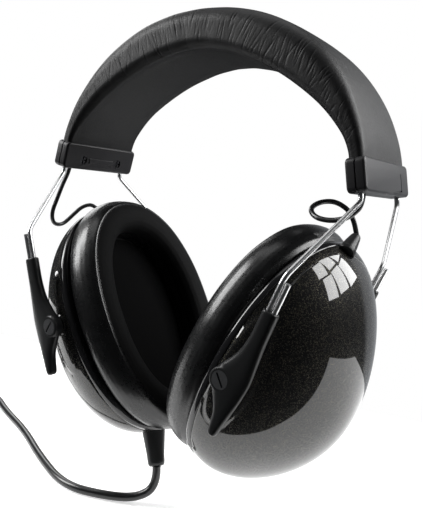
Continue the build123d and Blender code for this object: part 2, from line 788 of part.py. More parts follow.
def main():
    os.makedirs("parts", exist_ok=True)
    nodes = {}
    cover, foam, crossover, crossover_length = make_band_pieces()
    front_wire = spring_wire(-1)
    rear_wire = mirror(front_wire, about=Plane.XZ)
    nodes["headband_cover"] = cover
    nodes["headband_foam"] = foam - front_wire - rear_wire - crossover
    nodes["front_spring_wire"] = front_wire
    nodes["rear_spring_wire"] = rear_wire
    nodes["crossover_lead"] = crossover

    outer_half, inner_half, screws = make_block()
    all_screws = []
    for side in ("right", "left"):
        nodes[f"{side}_block_outer_half"] = sided(outer_half, side)
        nodes[f"{side}_block_inner_half"] = sided(inner_half, side)
        all_screws += [sided(s, side) for s in screws]
        front_arm = sided(make_arm(), side)
        nodes[f"{side}_front_arm"] = front_arm
        nodes[f"{side}_rear_arm"] = mirror(front_arm, about=Plane.XZ)
        nodes.update(cup_pieces(side))
    nodes["block_screws"] = all_screws

    cords = {
        "right_lead": (right_lead_route, right_lead_split, lead_radius, "right_lead_upper", "right_lead_lower"),
        "left_lead": (left_lead_route, left_lead_split, lead_radius, "left_lead_upper", "left_lead_lower"),
        "cable": (cable_route, cable_split, cable_radius, "cable_exit", "main_cable"),
    }
    for name, (route, split, radius, first_name, second_name) in cords.items():
        nodes[first_name], nodes[second_name] = split_cord(name, route, split, radius)
    coil = make_coil()
    nodes["main_cable"] -= coil
    nodes["cable_coil"] = coil
    nodes["cable_tie"] = make_tie()
    tail, _ = checked_tube("tail", tail_route, cord_radii(tail_route), cable_radius)
    nodes["cable_tail"] = tail - coil
    nodes["plug_handle"], nodes["plug_contact"] = make_plug()

    for name in ("right_lead_relief", "left_lead_relief"):
        nodes[name] -= nodes[name.replace("relief", "lower")]
    nodes["left_cord_relief"] -= nodes["cable_exit"]

    for name, made in nodes.items():
        solids = []
        for piece in made if isinstance(made, (list, ShapeList)) else [made]:
            solids += piece.solids()
        export_step(Compound(solids), f"parts/{name}.step")
    print(len(nodes), "nodes")


if __name__ == "__main__":
    main()
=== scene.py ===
"""Looks of a pair of wired, closed over-ear headphones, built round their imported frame.

Metres, in the frame's own axes: +Z up, +X toward the cup without the cord, -Y the front.
Everything on one side is drawn for +X, and the other side is its mirror image.
"""

import json
import logging
from collections.abc import Iterable, Sequence
from dataclasses import dataclass, field
from enum import Enum
from math import cos, pi, radians, sin
from typing import Any

import bmesh
import bpy
import numpy as np
from mathutils import Matrix, Vector


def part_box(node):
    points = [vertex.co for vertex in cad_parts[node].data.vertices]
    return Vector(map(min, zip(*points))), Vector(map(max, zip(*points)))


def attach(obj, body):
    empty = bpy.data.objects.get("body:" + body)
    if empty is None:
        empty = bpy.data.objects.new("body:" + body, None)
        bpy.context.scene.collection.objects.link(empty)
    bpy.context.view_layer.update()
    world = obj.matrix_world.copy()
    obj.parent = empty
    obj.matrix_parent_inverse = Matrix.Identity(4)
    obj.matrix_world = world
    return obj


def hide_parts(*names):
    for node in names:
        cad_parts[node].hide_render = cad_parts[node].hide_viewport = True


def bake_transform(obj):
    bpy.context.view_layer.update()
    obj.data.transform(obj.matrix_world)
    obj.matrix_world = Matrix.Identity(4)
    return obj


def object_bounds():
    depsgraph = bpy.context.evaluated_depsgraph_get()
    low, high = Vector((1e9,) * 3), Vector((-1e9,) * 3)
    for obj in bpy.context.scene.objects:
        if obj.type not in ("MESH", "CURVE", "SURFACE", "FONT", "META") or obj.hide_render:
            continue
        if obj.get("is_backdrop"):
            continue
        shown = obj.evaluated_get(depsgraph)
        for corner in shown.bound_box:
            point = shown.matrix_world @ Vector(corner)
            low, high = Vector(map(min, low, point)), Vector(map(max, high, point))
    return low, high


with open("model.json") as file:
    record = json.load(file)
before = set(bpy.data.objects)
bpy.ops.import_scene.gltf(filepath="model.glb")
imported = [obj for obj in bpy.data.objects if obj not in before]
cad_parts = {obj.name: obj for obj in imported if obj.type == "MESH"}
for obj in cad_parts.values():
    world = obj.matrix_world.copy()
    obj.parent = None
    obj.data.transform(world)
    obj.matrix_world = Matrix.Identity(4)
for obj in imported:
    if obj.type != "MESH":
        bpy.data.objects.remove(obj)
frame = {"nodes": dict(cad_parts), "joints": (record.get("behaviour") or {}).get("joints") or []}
log = logging.getLogger("headphones")
MM = 0.001
WHITE = (1.0, 1.0, 1.0, 1.0)

Pairs = tuple[tuple[float, float], ...]
Route = tuple[tuple[float, float, float], ...]


# ---- shaders --------------------------------------------------------------------------------------------------
class Signal:
    """A value that varies over a surface: a shader socket that can stand in a Python expression."""

    def __init__(self, surface: "Surface", socket: bpy.types.NodeSocket) -> None:
        """Wraps one output socket of a surface's node tree."""
        self.surface = surface
        self.socket = socket

    def math(self, operation: str, first: Any, second: Any = 0.0) -> "Signal":
        """Adds one Math node.

        Args:
            operation: The Math node's operation.
            first: Its first value, a number or a Signal.
            second: Its second value.

        Returns:
            The node's result.
        """
        node = self.surface.node("ShaderNodeMath", {"operation": operation}, {0: first, 1: second})
        return Signal(self.surface, node.outputs[0])

    def __add__(self, other: Any) -> "Signal":
        """self + other."""
        return self.math("ADD", self, other)

    def __radd__(self, other: Any) -> "Signal":
        """other + self."""
        return self.math("ADD", other, self)

    def __sub__(self, other: Any) -> "Signal":
        """self - other."""
        return self.math("SUBTRACT", self, other)

    def __rsub__(self, other: Any) -> "Signal":
        """other - self."""
        return self.math("SUBTRACT", other, self)

    def __mul__(self, other: Any) -> "Signal":
        """self * other."""
        return self.math("MULTIPLY", self, other)

    def __rmul__(self, other: Any) -> "Signal":
        """other * self."""
        return self.math("MULTIPLY", other, self)

    def __gt__(self, other: Any) -> "Signal":
        """1 where self is above other, 0 elsewhere."""
        return self.math("GREATER_THAN", self, other)

    def sine(self) -> "Signal":
        """The sine of self, in radians."""
        return self.math("SINE", self)


class NodeSheet:
    """A node tree being filled, node by node."""

    def __init__(self, tree: bpy.types.NodeTree) -> None:
        """Starts from a tree with nothing in it."""
        self.tree = tree
        self.tree.nodes.clear()

    def node(
        self, kind: str, settings: dict[str, Any] | None = None, inputs: dict[Any, Any] | None = None
    ) -> bpy.types.Node:
        """Adds one node.

        Args:
            kind: The node's type.
            settings: Its own settings; "stops" is a ramp's list of positions and colours.
            inputs: Values, sockets or Signals for its inputs, by name or number.

        Returns:
            The node.
        """
        node = self.tree.nodes.new(kind)
        for key, value in (settings or {}).items():
            if key == "stops":
                self._set_stops(node, value)
            else:
                setattr(node, key, value)
        self.feed(node, inputs or {})
        return node

    def _set_stops(self, node: bpy.types.Node, stops: Sequence[tuple[float, Sequence[float]]]) -> None:
        """Gives a colour ramp its stops.

        Args:
            node: The ramp.
            stops: Positions from 0 to 1, each with its colour.
        """
        elements = node.color_ramp.elements
        while len(elements) < len(stops):
            elements.new(1.0)
        for element, (position, colour) in zip(elements, stops):
            element.position = position
            element.color = (*colour, 1.0)

    def feed(self, node: bpy.types.Node, inputs: dict[Any, Any]) -> None:
        """Sets or links a node's inputs.

        Args:
            node: The node.
            inputs: Values, sockets or Signals, by the input's name or number.
        """
        for key, value in inputs.items():
            socket = node.inputs[key]
            if isinstance(value, Signal):
                self.tree.links.new(value.socket, socket)
            elif isinstance(value, bpy.types.NodeSocket):
                self.tree.links.new(value, socket)
            else:
                socket.default_value = value


class Surface(NodeSheet):
    """One material being built, with its Principled shader."""

    def __init__(self, name: str) -> None:
        """Starts an empty material that shows a Principled shader.

        Args:
            name: The material's name.
        """
        self.material = bpy.data.materials.new(name)
        self.material.use_nodes = True
        super().__init__(self.material.node_tree)
        self.shader = self.node("ShaderNodeBsdfPrincipled")
        self.node("ShaderNodeOutputMaterial", inputs={"Surface": self.shader.outputs[0]})
        self.place = self.node("ShaderNodeTexCoord").outputs["Object"]

    def stretched(self, scale: Sequence[float]) -> bpy.types.NodeSocket:
        """The place on the object, scaled along each axis."""
        mapping = self.node("ShaderNodeMapping", inputs={"Vector": self.place, "Scale": tuple(scale)})
        return mapping.outputs[0]

    def noise(self, size: float, detail: float = 2.0, place: Any = None) -> Signal:
        """Soft noise from 0 to 1 with blotches about size across."""
        inputs = {"Vector": place or self.place, "Scale": 1.0 / size, "Detail": detail}
        return Signal(self, self.node("ShaderNodeTexNoise", inputs=inputs).outputs[0])

    def cells(self, size: float, feature: str = "F1", output: str = "Distance") -> Any:
        """A Voronoi pattern with cells about size across."""
        node = self.node("ShaderNodeTexVoronoi", {"feature": feature}, {"Vector": self.place, "Scale": 1.0 / size})
        return Signal(self, node.outputs[output])

    def axes(self) -> tuple[Signal, Signal, Signal]:
        """The place on the object as three numbers."""
        node = self.node("ShaderNodeSeparateXYZ", inputs={0: self.place})
        return tuple(Signal(self, output) for output in node.outputs)

    def mixed(self, factor: Any, first: Sequence[float], second: Sequence[float]) -> bpy.types.NodeSocket:
        """A colour between two others.

        Args:
            factor: How far towards the second, from 0 to 1.
            first: The colour at 0.
            second: The colour at 1.

        Returns:
            The mixed colour.
        """
        node = self.node("ShaderNodeMix", {"data_type": "RGBA"})
        self.feed(node, {0: factor, 6: (*first, 1.0), 7: (*second, 1.0)})
        return node.outputs[2]

    def bump(self, height: Any, depth: float, below: Any = None) -> bpy.types.NodeSocket:
        """A bump of a given depth in metres, on top of another bump if there is one.

        Args:
            height: What stands up, from 0 to 1.
            depth: How far 1 stands above 0.
            below: The other bump.

        Returns:
            The bumped normal.
        """
        inputs = {"Height": height, "Distance": depth, "Strength": 1.0}
        if below is not None:
            inputs["Normal"] = below
        return self.node("ShaderNodeBump", inputs=inputs).outputs[0]

    def finish(self, **sockets: Any) -> bpy.types.Material:
        """Sets the Principled shader's sockets, named with underscores for spaces.

        Args:
            **sockets: Values, sockets or Signals for its inputs.

        Returns:
            The finished material.
        """
        named = {key.replace("_", " "): value for key, value in sockets.items()}
        for key in ("Base Color", "Coat Tint", "Sheen Tint"):
            if isinstance(named.get(key), tuple) and len(named[key]) == 3:
                named[key] = (*named[key], 1.0)
        self.feed(self.shader, named)
        return self.material


@dataclass(frozen=True)
class Leatherette:
    """Soft coated cloth with a fine grain of rounded cells."""

    name: str
    colour: tuple[float, float, float]
    roughness: float = 0.34
    cell: float = 0.9 * MM
    grain: float = 0.045 * MM
    crease: float = 0.12 * MM
    gloss: float = 0.3
    pore: float = 0.25 * MM
    patch: float = 9 * MM

    def build(self) -> bpy.types.Material:
        """Grain cells, finer pores, slow creases and a slightly uneven polish.

        Returns:
            The material.
        """
        s = Surface(self.name)
        cells = s.cells(self.cell, "SMOOTH_F1")
        pores = s.noise(self.pore, 3.0)
        slow = s.noise(self.patch, 3.0)
        creases = s.bump(slow, self.crease)
        grained = s.bump(cells * 0.8 + pores * 0.35, self.grain, creases)
        lighter = tuple(1.7 * c + 0.004 for c in self.colour)
        worn = (slow - 0.35) * 1.2 + pores * 0.2
        return s.finish(
            Base_Color=s.mixed(worn, self.colour, lighter),
            Roughness=self.roughness + slow * 0.12 + cells * 0.1 - 0.08,
            Normal=grained,
            Specular_IOR_Level=self.gloss,
        )


@dataclass(frozen=True)
class FlakeLacquer:
    """Dark plastic with fine metal flake under a thick clear coat."""

    name: str
    ground: tuple[float, float, float]
    flake: tuple[float, float, float]
    flake_size: float = 0.26 * MM
    flake_tilt: float = 0.02 * MM
    patch: float = 3.2 * MM
    coat_roughness: float = 0.035
    coat_index: float = 1.6

    def build(self) -> bpy.types.Material:
        """Scattered bright cells in a dark ground, under a clear coat.

        Returns:
            The material.
        """
        s = Surface(self.name)
        tint = s.node(
            "ShaderNodeSeparateColor",
            inputs={0: s.cells(self.flake_size, output="Color").socket},
        )
        chance = Signal(s, tint.outputs[0])
        shine = Signal(s, tint.outputs[1])
        drift = s.noise(self.patch, 3.0)
        flakes = (chance > 0.98 - drift * 0.3) * (0.2 + shine * 0.8)
        return s.finish(
            Base_Color=s.mixed(flakes, self.ground, self.flake),
            Metallic=flakes * 0.8,
            Roughness=0.5 - flakes * 0.18,
            Normal=s.bump(chance, self.flake_tilt),
            Specular_IOR_Level=0.08,
            Coat_Weight=1.0,
            Coat_Roughness=self.coat_roughness,
            Coat_IOR=self.coat_index,
        )


@dataclass(frozen=True)
class MouldedPlastic:
    """Injection-moulded plastic with a fine spark-eroded or polished skin."""

    name: str
    colour: tuple[float, float, float]
    roughness: float
    texture: float = 0.02 * MM
    coat: float = 0.0
    gloss: float = 0.32
    pit: float = 0.35 * MM
    flow_mark: float = 12 * MM

    def build(self) -> bpy.types.Material:
        """Mould texture, faint flow marks and a little handling polish.

        Returns:
            The material.
        """
        s = Surface(self.name)
        pits = s.noise(self.pit, 4.0)
        flow = s.noise(self.flow_mark, 2.0, s.stretched((1.0, 1.0, 0.35)))
        lighter = tuple(1.35 * c + 0.003 for c in self.colour)
        return s.finish(
            Base_Color=s.mixed(flow * 0.8 + pits * 0.2, self.colour, lighter),
            Roughness=self.roughness + (flow - 0.5) * 0.14 + (pits - 0.5) * 0.08,
            Normal=s.bump(pits, self.texture),
            Specular_IOR_Level=self.gloss,
            Coat_Weight=self.coat,
            Coat_Roughness=0.08,
        )


@dataclass(frozen=True)
class DrawnMetal:
    """Polished or turned metal with fine drawing marks."""

    name: str
    colour: tuple[float, float, float]
    roughness: float
    marks: float = 0.004 * MM
    mark_width: float = 0.3 * MM
    smudge_size: float = 7 * MM

    def build(self) -> bpy.types.Material:
        """Bright metal with marks along its length and faint smudges.

        Returns:
            The material.
        """
        s = Surface(self.name)
        lines = s.noise(self.mark_width, 2.0, s.stretched((1.0, 1.0, 0.06)))
        smudge = s.noise(self.smudge_size, 2.0)
        darker = tuple(0.8 * c for c in self.colour)
        return s.finish(
            Base_Color=s.mixed(smudge, self.colour, darker),
            Metallic=1.0,
            Roughness=self.roughness + lines * 0.06 + smudge * 0.05 - 0.04,
            Normal=s.bump(lines, self.marks),
        )


@dataclass(frozen=True)
class VinylJacket:
    """A smooth soft cord jacket."""

    name: str
    colour: tuple[float, float, float]
    roughness: float = 0.22
    wave_length: float = 3 * MM
    wave_depth: float = 0.03 * MM
    dust_size: float = 0.5 * MM

    def build(self) -> bpy.types.Material:
        """Glossy vinyl with slight dust and waviness.

        Returns:
            The material.
        """
        s = Surface(self.name)
        wave = s.noise(self.wave_length, 2.0)
        dust = s.noise(self.dust_size, 4.0)
        lighter = tuple(2.2 * c + 0.006 for c in self.colour)
        return s.finish(
            Base_Color=s.mixed(dust * 0.5, self.colour, lighter),
            Roughness=self.roughness + dust * 0.1 + wave * 0.06,
            Normal=s.bump(wave, self.wave_depth),
            Coat_Weight=0.35,
            Coat_Roughness=0.12,
        )


@dataclass(frozen=True)
class WovenCloth:
    """Cloth or foam with a regular weave across the Y and Z axes."""

    name: str
    colour: tuple[float, float, float]
    pitch: float = 0.7 * MM
    fuzz: float = 0.5
    fibre: float = 0.3 * MM
    thread_depth: float = 0.12 * MM

    def build(self) -> bpy.types.Material:
        """Over-and-under threads and loose fibres.

        Returns:
            The material.
        """
        s = Surface(self.name)
        _, y, z = s.axes()
        turn = 2 * pi / self.pitch
        weave = (y * turn).sine() * (z * turn).sine()
        fibres = s.noise(self.fibre, 4.0)
        lighter = tuple(2.2 * c for c in self.colour)
        raised = weave * 0.5 + 0.5
        return s.finish(
            Base_Color=s.mixed(raised * 0.6 + fibres * 0.4, self.colour, lighter),
            Roughness=0.85 + fibres * 0.1,
            Normal=s.bump(raised * 0.7 + fibres * self.fuzz, self.thread_depth),
            Specular_IOR_Level=0.08,
        )


class Finish(Enum):
    """Every finish of the object."""

    BAND = Leatherette("band_leatherette", (0.006, 0.006, 0.0065), roughness=0.46)
    CUSHION_FACE = Leatherette("cushion_face", (0.003, 0.003, 0.0032), 0.72, grain=0.03 * MM, gloss=0.1)
    CUSHION = Leatherette("cushion_leatherette", (0.004, 0.0042, 0.0045), 0.27, grain=0.01 * MM, gloss=0.7)
    SHELL = FlakeLacquer("shell_lacquer", (0.0018, 0.0018, 0.002), (0.085, 0.078, 0.055))
    RING = MouldedPlastic("ring_plastic", (0.01, 0.01, 0.011), 0.16, texture=0.004 * MM, coat=0.6)
    BLOCK = MouldedPlastic("block_plastic", (0.016, 0.0155, 0.017), 0.36)
    ARM = MouldedPlastic("arm_plastic", (0.013, 0.0135, 0.014), 0.34)
    PIVOT = MouldedPlastic("pivot_plastic", (0.05, 0.051, 0.053), 0.28, gloss=0.6)
    BAFFLE = MouldedPlastic("baffle_plastic", (0.02, 0.02, 0.02), 0.6)
    DRIVER = MouldedPlastic("driver_plastic", (0.04, 0.04, 0.045), 0.45)
    FILM = MouldedPlastic("diaphragm_film", (0.3, 0.22, 0.12), 0.15, coat=1.0)
    BOARD = MouldedPlastic("board_laminate", (0.01, 0.09, 0.04), 0.4)
    RELIEF = MouldedPlastic("relief_rubber", (0.018, 0.0185, 0.019), 0.3, texture=0.01 * MM)
    PLUG = MouldedPlastic("plug_plastic", (0.014, 0.014, 0.015), 0.4)
    WIRE = DrawnMetal("polished_wire", (0.86, 0.865, 0.87), 0.27)
    SCREW = DrawnMetal("black_screw", (0.07, 0.07, 0.075), 0.35)
    INNER_SCREW = DrawnMetal("inner_screw", (0.5, 0.5, 0.51), 0.3)
    MAGNET = DrawnMetal("magnet_steel", (0.45, 0.45, 0.46), 0.35)
    CONTACT = DrawnMetal("plug_metal", (0.75, 0.72, 0.62), 0.14)
    LEAD = VinylJacket("lead_jacket", (0.009, 0.009, 0.01), 0.28)
    CORD = VinylJacket("cord_jacket", (0.008, 0.0085, 0.009))
    SCREEN = WovenCloth("acoustic_cloth", (0.0007, 0.0007, 0.0008))
    FLEECE = WovenCloth("damping_fleece", (0.55, 0.54, 0.5), pitch=1.4 * MM)
    STRAP = WovenCloth("tie_strap", (0.012, 0.012, 0.013), pitch=0.9 * MM)


class Wardrobe:
    """Builds each material once and puts it on pieces."""

    def __init__(self) -> None:
        """Starts with no material made."""
        self.made: dict[Finish, bpy.types.Material] = {}

    def material(self, finish: Finish) -> bpy.types.Material:
        """The material of a finish.

        Args:
            finish: The finish.

        Returns:
            Its material, made the first time that it is asked for.
        """
        if finish not in self.made:
            self.made[finish] = finish.value.build()
        return self.made[finish]

    def dress_node(self, node: str, finish: Finish) -> None:
        """Puts a finish on a CAD piece.

        Args:
            node: The CAD node's name.
            finish: Its finish.
        """
        piece = frame["nodes"][node]
        for slot in piece.material_slots:
            slot.material = self.material(finish)
        log.info("%s keeps its own shape, in %s", node, finish.value.name)

    def place(
        self,
        piece: bpy.types.Object,
        finish: Finish,
        body: str,
        replaces: Iterable[str] = (),
    ) -> bpy.types.Object:
        """Dresses a piece and makes it ride on a body.

        Args:
            piece: The piece, already where it belongs.
            finish: Its finish.
            body: The body that it moves with.
            replaces: The CAD nodes that it stands for.

        Returns:
            The piece.
        """
        self.dress(piece, finish)
        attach(piece, body)
        if replaces:
            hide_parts(*replaces)
        log.info("%s rides on %s", piece.name, body)
        return piece

    def dress(self, piece: bpy.types.Object, finish: Finish) -> None:
        """Puts a finish on a piece.

        Args:
            piece: The piece.
            finish: Its finish.
        """
        piece.data.materials.clear()
        piece.data.materials.append(self.material(finish))


# ---- meshes ---------------------------------------------------------------------------------------------------
def mesh_piece(name: str, points: Any, faces: Iterable[Sequence[int]], crease: float = 35.0) -> bpy.types.Object:
    """A new mesh object with outward faces, smooth but for its creases.

    Args:
        name: The piece's name.
        points: Its vertices.
        faces: Its faces, as vertex numbers.
        crease: The angle, in degrees, above which an edge stays sharp.

    Returns:
        The object.
    """
    mesh = bpy.data.meshes.new(name)
    mesh.from_pydata([tuple(p) for p in points], [], [tuple(f) for f in faces])
    piece = bpy.data.objects.new(name, mesh)
    bpy.context.scene.collection.objects.link(piece)
    shaped = bmesh.new()
    shaped.from_mesh(mesh)
    bmesh.ops.recalc_face_normals(shaped, faces=shaped.faces)
    shaped.to_mesh(mesh)
    shaped.free()
    smooth(piece, crease)
    return piece


def smooth(piece: bpy.types.Object, crease: float = 35.0) -> None:
    """Shades a piece smooth except at edges sharper than crease degrees."""
    piece.data.polygons.foreach_set("use_smooth", [True] * len(piece.data.polygons))
    piece.data.set_sharp_from_angle(angle=radians(crease))


def skin(name: str, rings: Any, ring_loop: bool = False, crease: float = 35.0) -> bpy.types.Object:
    """A closed surface through a row of section loops.

    Args:
        name: The piece's name.
        rings: An array of loops: loop, point on the loop, coordinate.
        ring_loop: Whether the last loop joins the first; otherwise both ends are capped.
        crease: The angle, in degrees, above which an edge stays sharp.

    Returns:
        The object.
    """
    rings = np.asarray(rings, float)
    count, around, _ = rings.shape
    faces: list[Sequence[int]] = []
    for i in range(count if ring_loop else count - 1):
        low, high = i * around, (i + 1) % count * around
        for j in range(around):
            k = (j + 1) % around
            faces.append((low + j, low + k, high + k, high + j))
    if not ring_loop:
        faces.append(range(around))
        faces.append(range((count - 1) * around, count * around))
    return mesh_piece(name, rings.reshape(-1, 3), faces, crease)


def turned(name: str, start: Any, heading: Any, profile: Any, around: int = 48) -> bpy.types.Object:
    """A piece turned about an axis.

    Args:
        name: The piece's name.
        start: The axis's first point.
        heading: The axis's direction.
        profile: Pairs of distance along the axis and radius.
        around: How many points each ring has.

    Returns:
        The object.
    """
    axis = Vector(heading).normalized()
    side = axis.orthogonal().normalized()
    other = axis.cross(side)
    angles = np.linspace(0, 2 * pi, around, endpoint=False)
    spokes = np.outer(np.cos(angles), side) + np.outer(np.sin(angles), other)
    rings = [np.array(start) + d * np.array(axis) + r * spokes for d, r in profile]
    return skin(name, rings)


def rounded_profile(profile: Sequence[tuple[float, float]], steps: int = 5, share: float = 0.3) -> np.ndarray:
    """A profile with each inner corner turned into a short curve.

    Args:
        profile: Pairs of distance and radius.
        steps: How many points each curve has.
        share: How much of each run the curve takes.

    Returns:
        The new pairs.
    """
    points = [np.array(p, float) for p in profile]
    smoothed = [points[0]]
    for a, b, c in zip(points, points[1:], points[2:]):
        for t in np.linspace(0, 1, steps):
            first = b + (a - b) * share * (1 - t)
            second = b + (c - b) * share * t
            smoothed.append(first * (1 - t) + second * t)
    return np.array(smoothed + [points[-1]])


def oval(angles: np.ndarray, half_width: float, half_height: float, power: float) -> np.ndarray:
    """Points of a slightly squared oval, as Y and Z.

    Args:
        angles: Where on the oval each point is, in radians.
        half_width: Half its size along Y.
        half_height: Half its size along Z.
        power: 2 for an ellipse, more for a squarer shape.

    Returns:
        The points.
    """
    c, s = np.cos(angles), np.sin(angles)
    y = half_width * np.sign(c) * np.abs(c) ** (2 / power)
    z = half_height * np.sign(s) * np.abs(s) ** (2 / power)
    return np.stack([y, z], axis=-1)


def ease(values: np.ndarray) -> np.ndarray:
    """A smooth step from 0 to 1."""
    t = np.clip(values, 0, 1)
    return t * t * (3 - 2 * t)


def bezier(points: Sequence[Sequence[float]], t: np.ndarray) -> np.ndarray:
    """Points of a cubic Bezier curve.

    Args:
        points: Its four control points.
        t: Where along it each point is, from 0 to 1.

    Returns:
        The points.
    """
    a, b = 1 - t, t
    weights = np.stack([a**3, 3 * a * a * b, 3 * a * b * b, b**3], axis=-1)
    return weights @ np.array(points, float)


def carved(piece: bpy.types.Object, tool: bpy.types.Object, operation: str) -> None:
    """Applies one Boolean of a tool to a piece and removes the tool.

    Args:
        piece: The piece that changes.
        tool: The solid that it meets.
        operation: UNION or DIFFERENCE.
    """
    change = piece.modifiers.new("carve", "BOOLEAN")
    change.operation = operation
    change.solver = "EXACT"
    change.object = tool
    baked(piece)
    bpy.data.objects.remove(tool, do_unlink=True)


def baked(piece: bpy.types.Object) -> None:
    """Applies a piece's modifiers to its mesh.

    Args:
        piece: The piece.
    """
    graph = bpy.context.evaluated_depsgraph_get()
    mesh = bpy.data.meshes.new_from_object(piece.evaluated_get(graph))
    piece.modifiers.clear()
    piece.data = mesh


def corners_of(piece: bpy.types.Object) -> np.ndarray:
    """A mesh's vertices as an array.

    Args:
        piece: The mesh object.

    Returns:
        One row for each vertex.
    """
    flat = np.zeros(len(piece.data.vertices) * 3)
    piece.data.vertices.foreach_get("co", flat)
    return flat.reshape(-1, 3)


def moved(piece: bpy.types.Object, points: np.ndarray) -> None:
    """Gives a mesh's vertices new places."""
    piece.data.vertices.foreach_set("co", np.asarray(points, float).ravel())
    piece.data.update()


def copied(piece: bpy.types.Object, name: str, points: np.ndarray, crease: float = 35.0) -> bpy.types.Object:
    """A copy of a mesh with its vertices in new places and its faces outward."""
    return mesh_piece(name, points, [tuple(p.vertices) for p in piece.data.polygons], crease)


def rebuilt(piece: bpy.types.Object, name: str, points: np.ndarray, crease: float = 35.0) -> bpy.types.Object:
    """Puts a copy with moved vertices in a mesh's place.

    Args:
        piece: The mesh object, which is removed.
        name: The copy's name.
        points: The copy's vertices.
        crease: The angle, in degrees, above which an edge stays sharp.

    Returns:
        The copy.
    """
    copy = copied(piece, name, points, crease)
    bpy.data.objects.remove(piece, do_unlink=True)
    return copy


def node_centre(*nodes: str) -> np.ndarray:
    """The middle of the box round some CAD nodes.

    Args:
        *nodes: The nodes' names.

    Returns:
        The middle point.
    """
    boxes = [np.array(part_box(node)) for node in nodes]
    low = np.min([b[0] for b in boxes], axis=0)
    high = np.max([b[1] for b in boxes], axis=0)
    return (low + high) / 2


def joint_place(name: str) -> np.ndarray:
    """The point that a joint turns about."""
    joint = next(j for j in frame["joints"] if j["name"] == name)
    return np.array(joint["pos_m"], float)


# ---- sides ----------------------------------------------------------------------------------------------------
@dataclass(frozen=True)
class Side:
    """One side of the object: how its cup hangs, and how far back its lead goes in."""

    name: str
    way: int
    tilt: float
    lead_y: float

    def mirrored(self, points: Any) -> np.ndarray:
        """Points drawn for +X, on this side."""
        return np.asarray(points, float) * np.array([self.way, 1.0, 1.0])

    @property
    def cup(self) -> str:
        """The cup's body."""
        return f"{self.name}_cup"

    @property
    def arms(self) -> str:
        """The arms' body."""
        return f"{self.name}_arms"

    def node(self, piece: str) -> str:
        """The name of this side's node of a kind."""
        return f"{self.name}_{piece}"


RIGHT = Side("right", 1, 24.5, 3.0 * MM)
LEFT = Side("left", -1, 28.0, 6.0 * MM)


